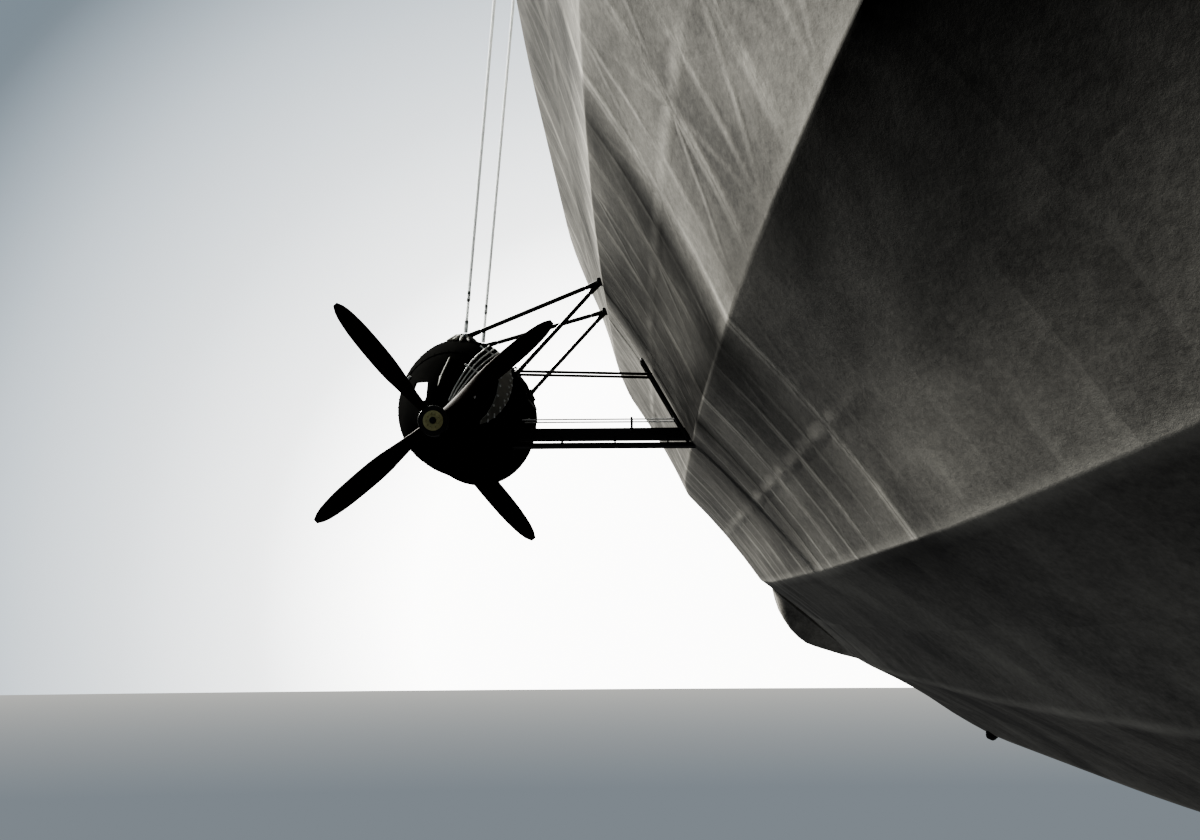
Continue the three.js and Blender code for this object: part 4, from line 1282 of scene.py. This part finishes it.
def copy_car(car, side, shift, root_ridge):
    """Copies every piece of the model car to the place of another."""
    port, up = CarPlace(side, shift, root_ridge).middle
    over = Vector((-shift * REAL, (port - CAR_PORT) * REAL, (up - CAR_UP) * REAL))
    matrix = Matrix.Diagonal((1, side, 1, 1)) @ Matrix.Translation(over)
    for piece, part, body, slot, solid in car_pieces:
        turned = matrix
        if part == "blades" and side < 0:
            # Every propeller turns the same way, so its blades are not mirrored
            turned = Matrix.Translation(matrix @ HUB) @ Matrix.Translation(-HUB)
        nodes = (f"{car}_{solid}",) if solid else ()
        copy_turned(piece, f"{car}_{part}", turned, body.format(car), nodes)


for row in CARS[1:]:
    copy_car(*row)


# Solids whose shape already serves get their finish
SOLID_FINISHES = {
    "doped_fabric": COTTON, "black_paint": ENAMEL, "tube_steel": TUBE, "laminated_wood": WALNUT,
    "cast_metal": CASTING, "rubber": RUBBER, "window_glass": GLASS,
}
SLOTS = {part["node"]: part["material_slot"] for part in frame["record"]["subparts"]}
for name, solid in frame["nodes"].items():
    solid.data.materials.clear()
    solid.data.materials.append(SOLID_FINISHES[SLOTS[name]])


# Tail surfaces, drawn upright above the hull and then turned about its axis

FIN_TRAILING = 226
# Fin rows: height above the hull's axis, leading station, full thickness, thickness at its end
FIN_ROWS = [
    (4, 178, 3.9, 1.0), (13, 196, 3.4, 0.95), (18, 206.3, 2.1, 0.7), (20.5, 211.7, 1.2, 0.54),
    (21.3, 216, 0.7, 0.44),
]
# Half outline of a fin: share of the chord, share of the half thickness
FIN_OUTLINE = [(0, 0.04), (0.03, 0.42), (0.15, 0.85), (0.42, 1)]
# Where a fin is thickest, and the thinnest that half of it may be
FIN_FULL = 0.42
FIN_THIN = 0.02
FIN_SHARES = [0, 0.008, 0.03, 0.08, 0.15, 0.28, FIN_FULL, 0.56, 0.7, 0.85, 1]
# Half thickness of a flap's trailing edge, and its corners as shares of the chord
FLAP_EDGE = 0.05
FLAP_SHARES = (0.15, 0.35, 0.6, 0.85, 1)
# Flap rows: height, radius of the rounded nose, trailing station
FLAP_ROWS = [(6.4, 0.42, 232.4), (8, 0.41, 233.6), (19.4, 0.25, 233.6), (21.1, 0.2, 231.6)]
HINGE_STATION = 226.56
HINGE_ARMS = (9.5, 17.5)
ARM_HEIGHT = 0.3
ARM_PLAY = 0.06
RIB_PITCH = 1.1
RIB_HOLLOW = 0.035
# Places between two ribs, and how far the cloth is drawn in at each
RIB_SLACK = [(0, 0), (0.12, 0.4), (0.5, 1), (0.88, 0.4)]
TAIL_PLACES = [
    ("upper", "rudder", 0), ("lower", "rudder", 180), ("port", "elevator", -90),
    ("starboard", "elevator", 90),
]


def rib_levels(rows):
    """Heights of the rings: four to a rib bay, and the rows themselves."""
    first, last = rows[0][0], rows[-1][0]
    count = round((last - first) / RIB_PITCH)
    pitch = (last - first) / count
    levels = []
    for i in range(count):
        for part, slack in RIB_SLACK:
            levels.append((first + (i + part) * pitch, slack))
    return [*levels, (last, 0)]


def fin_ring(height, slack):
    leading = straight_row(FIN_ROWS, height, 1)
    thick = straight_row(FIN_ROWS, height, 2)
    trailing = straight_row(FIN_ROWS, height, 3)
    chord = FIN_TRAILING - leading
    half = []
    for t in FIN_SHARES:
        if t <= FIN_FULL:
            wide = smooth_row(FIN_OUTLINE, t, 1) * thick / 2
        else:
            back = (t - FIN_FULL) / (1 - FIN_FULL)
            wide = (1 - back) * thick / 2 + back * trailing / 2
        drawn = RIB_HOLLOW * slack * min(1, 8 * t) * min(1, 6 * (1 - t))
        half.append((leading + t * chord, max(FIN_THIN, wide - drawn)))
    port = [spot(s, y, height) for s, y in half]
    starboard = [spot(s, -y, height) for s, y in reversed(half)]
    return port + starboard


def flap_ring(height, slack):
    nose = straight_row(FLAP_ROWS, height, 1)
    trailing = straight_row(FLAP_ROWS, height, 2)
    points = []
    for degrees in range(98, 263, 18):
        turn = math.radians(degrees)
        points.append((HINGE_STATION + nose * math.cos(turn), nose * math.sin(turn)))
    start_station, start_out = points[0]
    sides = []
    for share in FLAP_SHARES:
        station = start_station + share * (trailing - start_station)
        out = start_out + share * (FLAP_EDGE - start_out)
        drawn = 0.6 * RIB_HOLLOW * slack * min(1, 5 * share) * min(1, 5 * (1 - share))
        sides.append((station, out - drawn))
    starboard = [(station, -port) for station, port in sides]
    return [spot(*corner, height) for corner in sides[::-1] + points + starboard]


def build_fin():
    fin = skin_over("fin", [fin_ring(*level) for level in rib_levels(FIN_ROWS)])
    complete(fin, COTTON, "hull", angle=24)
    arms = open_piece("hinge_arms")
    for height in HINGE_ARMS:
        start = FIN_TRAILING - 0.3
        add_block(
            spot((start + HINGE_STATION) / 2, 0, height), HINGE_STATION - start, 0.2, ARM_HEIGHT,
        )
        low, high = height - ARM_HEIGHT / 2, height + ARM_HEIGHT / 2
        add_tube(spot(HINGE_STATION, 0, low), spot(HINGE_STATION, 0, high), 0.15, 24)
    complete(arms, TUBE, "hull", ease=0.015)
    return fin, arms


def build_flap():
    flap = skin_over("flap", [flap_ring(*level) for level in rib_levels(FLAP_ROWS)])
    to_object(flap)
    notch = open_piece("hinge_notches")
    for height in HINGE_ARMS:
        add_block(spot(HINGE_STATION - 0.26, 0, height), 1, 2, ARM_HEIGHT + 2 * ARM_PLAY)
    cut_away(flap, notch)
    complete(flap, COTTON, "hull", angle=24)
    pins = open_piece("hinge_pins")
    for height in HINGE_ARMS:
        low, high = height - ARM_HEIGHT / 2 - 0.3, height + ARM_HEIGHT / 2 + 0.3
        add_tube(spot(HINGE_STATION, 0, low), spot(HINGE_STATION, 0, high), 0.06, 16)
        # Horn that the control cable pulls on
        add_block(spot(HINGE_STATION + 0.35, 0, height + 1.2), 0.3, 1.3, 0.06)
    complete(pins, TUBE, "hull", ease=0.008)
    return flap, pins


def build_tail():
    fin, arms = build_fin()
    flap, pins = build_flap()
    for name, kind, degrees in TAIL_PLACES:
        turn = Matrix.Rotation(math.radians(degrees), 4, "X")
        moving = f"{kind}_{name}"
        body = moving + "_body"
        copy_turned(fin, f"fin_{name}_cover", turn, "hull", (f"fin_{name}",))
        copy_turned(arms, f"fin_{name}_arms", turn, "hull")
        copy_turned(flap, moving + "_cover", turn, body, (moving,))
        copy_turned(pins, moving + "_pins", turn, body)
    for pattern in (fin, arms, flap, pins):
        bpy.data.objects.remove(pattern)


build_tail()


# Bow cap with its mooring spindle

# Station and radius down the cap, from its rim to the tip of the spindle
CAP_OUTLINE = [
    (0.96, 1.95), (0.95, 2.08), (0.72, 1.86), (0.42, 1.56), (0.2, 1.18), (0.02, 0.82),
    (-0.05, 0.72), (-0.09, 0.58), (-0.13, 0.4), (-0.2, 0.35), (-0.5, 0.33), (-0.52, 0.27),
    (-0.72, 0.26), (-0.74, 0.32), (-0.8, 0.34), (-0.98, 0.33), (-1.05, 0.26), (-1.09, 0.12),
]
CAP_SIDES = 72


def build_bow_cap():
    rings = []
    for station, radius in CAP_OUTLINE:
        rings.append([polar(station, radius, 360 * i / CAP_SIDES) for i in range(CAP_SIDES)])
    cap = skin_over("bow_cap_plates", rings)
    complete(cap, ALUMINIUM, "hull", ("bow_cap",), angle=28)


build_bow_cap()


# Control car

# Half plan of the car: station and half width
CAR_PLAN = [
    (34, 0.45), (34.5, 0.95), (35.4, 1.22), (36.9, 1.25), (38.4, 1.25), (39.9, 1.18),
    (41.4, 0.92), (43, 0.35),
]
CAR_TOP = -16.2
PANE_LOW, PANE_HIGH, PANE_POST = -19.12, -18.34, 0.13
CAR_MIDDLE = 38.3
RAIL_UP = -19.5
# Rings down the control car: height, share of the plan, how far a moulding stands out
CONTROL_RINGS = [
    (CAR_TOP, 1, 0), (-17.2, 1, 0), (-17.9, 1, 0), (-18.22, 1, 0), (-18.24, 1, 0.035),
    (-18.3, 1, 0.035), (-18.32, 1, 0), (-19.14, 1, 0), (-19.16, 1, 0.035), (-19.22, 1, 0.035),
    (-19.24, 1, 0), (-19.45, 0.94, 0), (-19.65, 0.89, 0), (-19.8, 0.84, 0), (-19.92, 0.77, 0),
    (-20.02, 0.69, 0), (-20.1, 0.6, 0),
]


def car_plan_points():
    return [(station, -port) for station, port in CAR_PLAN] + CAR_PLAN[::-1]


def pane_edges():
    """Each straight side of the plan that is long enough for a window."""
    plan = car_plan_points()
    for start, end in zip(plan, plan[1:] + plan[:1]):
        length = math.hypot(end[0] - start[0], end[1] - start[1])
        if length > 0.5:
            yield start, end, length


def build_control_car():
    plan = car_plan_points()

    def ring(up, share, grow):
        points = []
        stretch = share + 0.12 if share < 1 else 1
        for s, y in plan:
            side = math.copysign(grow, y)
            ahead = math.copysign(grow, s - CAR_MIDDLE) if s in (CAR_PLAN[0][0], CAR_PLAN[-1][0]) else 0
            points.append(spot(CAR_MIDDLE + (s - CAR_MIDDLE) * stretch + ahead, y * share + side, up))
        return points

    rings = [ring(*row) for row in CONTROL_RINGS]
    hull = skin_over("control_car_plates", rings, closed=(False, True))
    change(hull, "SOLIDIFY", thickness=0.07 * REAL, offset=-1)
    cutter = open_piece("pane_cutters")
    for start, end, length in pane_edges():
        turn = math.atan2(end[1] - start[1], start[0] - end[0])
        place = spot((start[0] + end[0]) / 2, (start[1] + end[1]) / 2, (PANE_LOW + PANE_HIGH) / 2)
        add_block(place, length - PANE_POST, 0.4, PANE_HIGH - PANE_LOW, (0, 0, turn))
    cut_away(hull, cutter)
    ease_edges(hull, 0.012, 2, 30)
    complete(hull, ALUMINIUM, "hull", ("control_car",), angle=25)

    fittings = open_piece("control_car_fittings")
    # Hand rail round the belly, glazing bars, the seat of a bumper bag and a stub on the nose
    rail = ring(RAIL_UP, 1, 0.03)
    add_route(rail, 0.022, 8, closed=True)
    for corner in rail[::2]:
        inward = Vector((0, -math.copysign(0.09 * REAL, corner.y), 0.04 * REAL))
        add_tube(corner, corner + inward, 0.018, 8)
    for start, end, length in pane_edges():
        if length > 1.3:
            a = spot((start[0] + end[0]) / 2, (start[1] + end[1]) / 2 * 1.012, PANE_LOW - 0.02)
            add_tube(a, a + Vector((0, 0, (PANE_HIGH - PANE_LOW + 0.04) * REAL)), 0.02, 8)
    add_tube(spot(34.4, 0, -20.02), spot(34.4, 0, -20.24), 0.12, 16, 0.09)
    add_tube(spot(34.2, 0.3, CAR_TOP - 1.2), spot(33.6, 0.3, CAR_TOP - 1.2), 0.035, 10)
    complete(fittings, TUBE, "hull", ease=0.008)


build_control_car()


# Landing wheels

# Name, station, wheel radius, tyre width, gap between the tyres, axle height
WHEELS = [("front", 41.5, 0.55, 0.26, 0.36, -21.25), ("tail", 221, 0.5, 0.24, 0.34, -22.05)]
# Round a tyre's section: share of the wheel's radius, share of the tyre's width
TYRE_PROFILE = [
    (0.62, -0.3), (0.66, -0.44), (0.78, -0.5), (0.9, -0.46), (0.97, -0.3), (0.985, -0.16),
    (0.97, -0.14), (0.985, -0.12), (1, 0), (0.985, 0.12), (0.97, 0.14), (0.985, 0.16),
    (0.97, 0.3), (0.9, 0.46), (0.78, 0.5), (0.66, 0.44), (0.62, 0.3),
]
WHEEL_SIDES = 28
# Steps of a hub: share of the tyre's width either way, share of the wheel's radius
HUB_STEPS = ((0.26, 0.62), (0.34, 0.4), (0.44, 0.24))
WHEEL_BOLTS = 6


def build_wheel(name, station, radius, width, track, up):
    body = name + "_wheel_body"
    tyres = []

    def round_axle(out, turn, port):
        return spot(station + out * math.cos(turn), port, up + out * math.sin(turn))

    for side in (-1, 1):
        port = side * (track + width) / 2
        rings = []
        for out, across in TYRE_PROFILE:
            rings.append([
                round_axle(out * radius, 2 * math.pi * i / WHEEL_SIDES, port + across * width)
                for i in range(WHEEL_SIDES)
            ])
        tyre = skin_over(f"{name}_tyre_{len(tyres)}", rings)
        complete(tyre, RUBBER, body, (f"{name}_wheel",), angle=35)
        tyres.append(tyre)
    hubs = open_piece(name + "_hubs")
    for side in (-1, 1):
        port = side * (track + width) / 2
        for reach, size in HUB_STEPS:
            inner, outer = port - reach * width, port + reach * width
            add_tube(spot(station, inner, up), spot(station, outer, up), size * radius, WHEEL_SIDES)
        for i in range(WHEEL_BOLTS):
            bolt = round_axle(0.5 * radius, 2 * math.pi * i / WHEEL_BOLTS, port)
            reach = Vector((0, 0.32 * width * REAL, 0))
            add_tube(bolt - reach, bolt + reach, 0.03, 6)
    end = track / 2 + 0.1
    add_tube(spot(station, -end, up), spot(station, end, up), 0.08, 20)
    complete(hubs, CASTING, body, ease=0.01)


for wheel in WHEELS:
    build_wheel(*wheel)


# Fittings along the hull

LUG_STATIONS = (83.4, 128, 168)
LUG_DEGREES = (-64.7, -115.3)
EYE_STATIONS = (16, 28, 190, 205)
EYE_DEGREES = (-85, -95)
HOOD_STATIONS = (32, 47, 63, 79, 95, 111, 127, 143, 159, 174, 188)
HOOD_DEGREES = (85, 95)
# Where each wire takes hold of a fin: station and height
FIN_WIRES = ((212, 16), (220, 19))


def on_hull(station, degrees, lift):
    return polar(station, frame_radius(station) + lift, degrees)


def build_hull_fittings():
    # Handling lugs, and eyes for ropes on both sides of the keel
    lugs = open_piece("hull_lugs")
    for station in LUG_STATIONS:
        for degrees in LUG_DEGREES:
            base = on_hull(station, degrees, -0.1)
            tip = on_hull(station, degrees, 0.1)
            add_tube(base, tip, 0.2, 20, 0.17)
            add_tube(tip, on_hull(station, degrees, 0.2), 0.17, 20, 0.09)
    for degrees in EYE_DEGREES:
        for station in EYE_STATIONS:
            base = on_hull(station, degrees, -0.15)
            add_tube(base, on_hull(station, degrees, 0.12), 0.1, 12)
    complete(lugs, TUBE, "hull", ease=0.03)

    # Gas vent hoods on the back of the hull
    hoods = open_piece("gas_vent_hoods")
    for station in HOOD_STATIONS:
        for degrees in HOOD_DEGREES:
            base = on_hull(station, degrees, -0.25)
            top = on_hull(station, degrees, 0.38)
            add_tube(base, top, 0.42, 20, 0.34)
            add_tube(on_hull(station, degrees, 0.34), on_hull(station, degrees, 0.5), 0.5, 20, 0.3)
    complete(hoods, COTTON, "hull", ease=0.04)

    # Bracing wires from the hull to the fins
    wires = open_piece("fin_wires")
    for _, _, degrees in TAIL_PLACES:
        turn = Matrix.Rotation(math.radians(degrees), 4, "X")
        for station, height in FIN_WIRES:
            for side in (-1, 1):
                thick = straight_row(FIN_ROWS, height, 2) / 2 * side
                start = turn @ spot(station, thick * 0.9, height)
                radius = frame_radius(station - 2)
                angle = math.radians(90 - side * 45)
                end = turn @ spot(station - 2, radius * math.cos(angle), radius * math.sin(angle))
                add_tube(start, end, 0.025, 8)
    complete(wires, WIRE, "hull")


build_hull_fittings()


# Camera


def make_camera():
    forward = Vector((
        math.cos(CAMERA_PITCH) * math.cos(CAMERA_YAW),
        math.cos(CAMERA_PITCH) * math.sin(CAMERA_YAW),
        math.sin(CAMERA_PITCH),
    ))
    level = Vector((math.sin(CAMERA_YAW), -math.cos(CAMERA_YAW), 0))
    upright = level.cross(forward)
    right = level * math.cos(CAMERA_ROLL) + upright * math.sin(CAMERA_ROLL)
    up = upright * math.cos(CAMERA_ROLL) - level * math.sin(CAMERA_ROLL)
    data = bpy.data.cameras.new("photo_camera")
    data.lens = CAMERA_LENS
    data.sensor_width = CAMERA_SENSOR
    data.clip_end = CAMERA_REACH
    camera = add_object("photo_camera", data)
    turn = Matrix((right, up, -forward)).transposed()
    camera.matrix_world = Matrix.Translation(CAMERA_PLACE) @ turn.to_4x4()
    bpy.context.scene.camera = camera


make_camera()


# Stage: a pale floor, a soft sky, a soft sun to port and a faint one to starboard

FLOOR_RADIUS = 52
FLOOR_UP = -3.2
# Where the floor starts to pale
FLOOR_NEAR = 21
# Brightness of the glow by distance from dead ahead
SKY_GLOW = [(0.09, 0.75), (0.15, 0.36), (0.2, 0.25), (0.25, 0.18), (0.31, 0.075), (0.5, 0.09)]
SKY_SEEN = 5.0
SKY_LIGHT = "#8d979d"
GROUND_LIGHT = "#8e8f90"
SKY_LIGHT_STRENGTH = 0.6
# Suns: name, azimuth, elevation, strength, spread in degrees, tint
SUNS = [
    ("port_sun", 38, 32, 13.7, 12, "#fffdf6"), ("starboard_fill", -115, 50, 1.6, 40, "#ffffff"),
]


def make_floor():
    bpy.ops.object.select_all(action="DESELECT")
    bpy.ops.mesh.primitive_circle_add(
        vertices=128, radius=FLOOR_RADIUS, fill_type="NGON", location=(0, 0, FLOOR_UP),
    )
    floor = bpy.context.object
    floor.name = "studio_floor"
    # The floor shines with its own painted light, darker near the middle and paler out to its rim
    material, tree, shader = new_finish(
        "pale_floor", Base_Color=colour("#000000"), Specular_IOR_Level=0.0, Emission_Strength=0.95,
    )
    place = node(tree, "TexCoord")
    reach = node(tree, "VectorMath", {0: place.outputs["Object"]}, operation="LENGTH")
    far = node(tree, "MapRange", {
        "Value": reach.outputs["Value"], "From Min": FLOOR_NEAR, "From Max": FLOOR_RADIUS,
    })
    tint = node(tree, "MixRGB", {0: far, 1: colour("#7f868c"), 2: colour("#b2b2af")})
    feed(tree, shader, {"Emission Color": tint})
    floor.data.materials.append(material)
    # The real ground lies far below, so the floor throws no light or shade on the ship
    floor.visible_diffuse = False
    floor.visible_glossy = False
    floor.visible_shadow = False


def make_sky():
    """The camera sees a pale sky with a glow ahead of the nose. The light that reaches
    the ship from the sky is plainer and dimmer."""
    world = bpy.data.worlds.new("studio_sky")
    bpy.context.scene.world = world
    world.use_nodes = True
    tree = world.node_tree
    tree.nodes.clear()
    place = node(tree, "TexCoord")
    ahead = {0: place.outputs["Generated"], 1: (1, 0, 0)}
    from_glow = node(tree, "VectorMath", ahead, operation="DISTANCE")
    glow = node(tree, "ValToRGB", {0: from_glow.outputs["Value"]})
    for place_on, value in SKY_GLOW:
        stop = glow.color_ramp.elements.new(place_on)
        stop.color = (value, value, value, 1)
    for stop in (glow.color_ramp.elements[0], glow.color_ramp.elements[-1]):
        stop.color = (SKY_GLOW[0 if stop.position < 0.5 else -1][1],) * 3 + (1,)
    strength = node(tree, "Math", {0: glow, 1: SKY_SEEN}, operation="MULTIPLY")
    rim = node(tree, "MapRange", {
        "Value": from_glow.outputs["Value"], "From Min": 0.1, "From Max": 0.32,
    })
    seen = node(tree, "MixRGB", {0: rim, 1: colour("#fdfcfa"), 2: colour("#c3d3e0")})
    seen = node(tree, "Background", {"Color": seen, "Strength": strength})
    axes = node(tree, "SeparateXYZ", {0: place.outputs["Generated"]})
    above = node(
        tree, "MapRange", {"Value": axes.outputs[2], "From Min": -0.08, "From Max": 0.08},
        interpolation_type="SMOOTHSTEP",
    )
    lit = node(tree, "MixRGB", {0: above, 1: colour(GROUND_LIGHT), 2: colour(SKY_LIGHT)})
    lit = node(tree, "Background", {"Color": lit, "Strength": SKY_LIGHT_STRENGTH})
    path = node(tree, "LightPath")
    both = node(tree, "MixShader", {0: path.outputs["Is Camera Ray"], 1: lit, 2: seen})
    node(tree, "OutputWorld", {"Surface": both})


def make_sun(name, azimuth, elevation, strength, spread, tint):
    """A soft sun. Azimuth 0 is ahead of the nose and 90 is to port."""
    data = bpy.data.lights.new(name, "SUN")
    data.energy = strength
    data.color = colour(tint)[:3]
    data.angle = math.radians(spread)
    sun = add_object(name, data)
    a, e = math.radians(azimuth), math.radians(elevation)
    towards = Vector((math.cos(a) * math.cos(e), math.sin(a) * math.cos(e), math.sin(e)))
    sun.rotation_euler = towards.to_track_quat("Z", "Y").to_euler()


make_floor()
make_sky()
for sun in SUNS:
    make_sun(*sun)
# A film-like roll-off that still keeps the dark side of the ship dark
bpy.context.scene.view_settings.view_transform = "AgX"
bpy.context.scene.view_settings.look = "AgX - High Contrast"
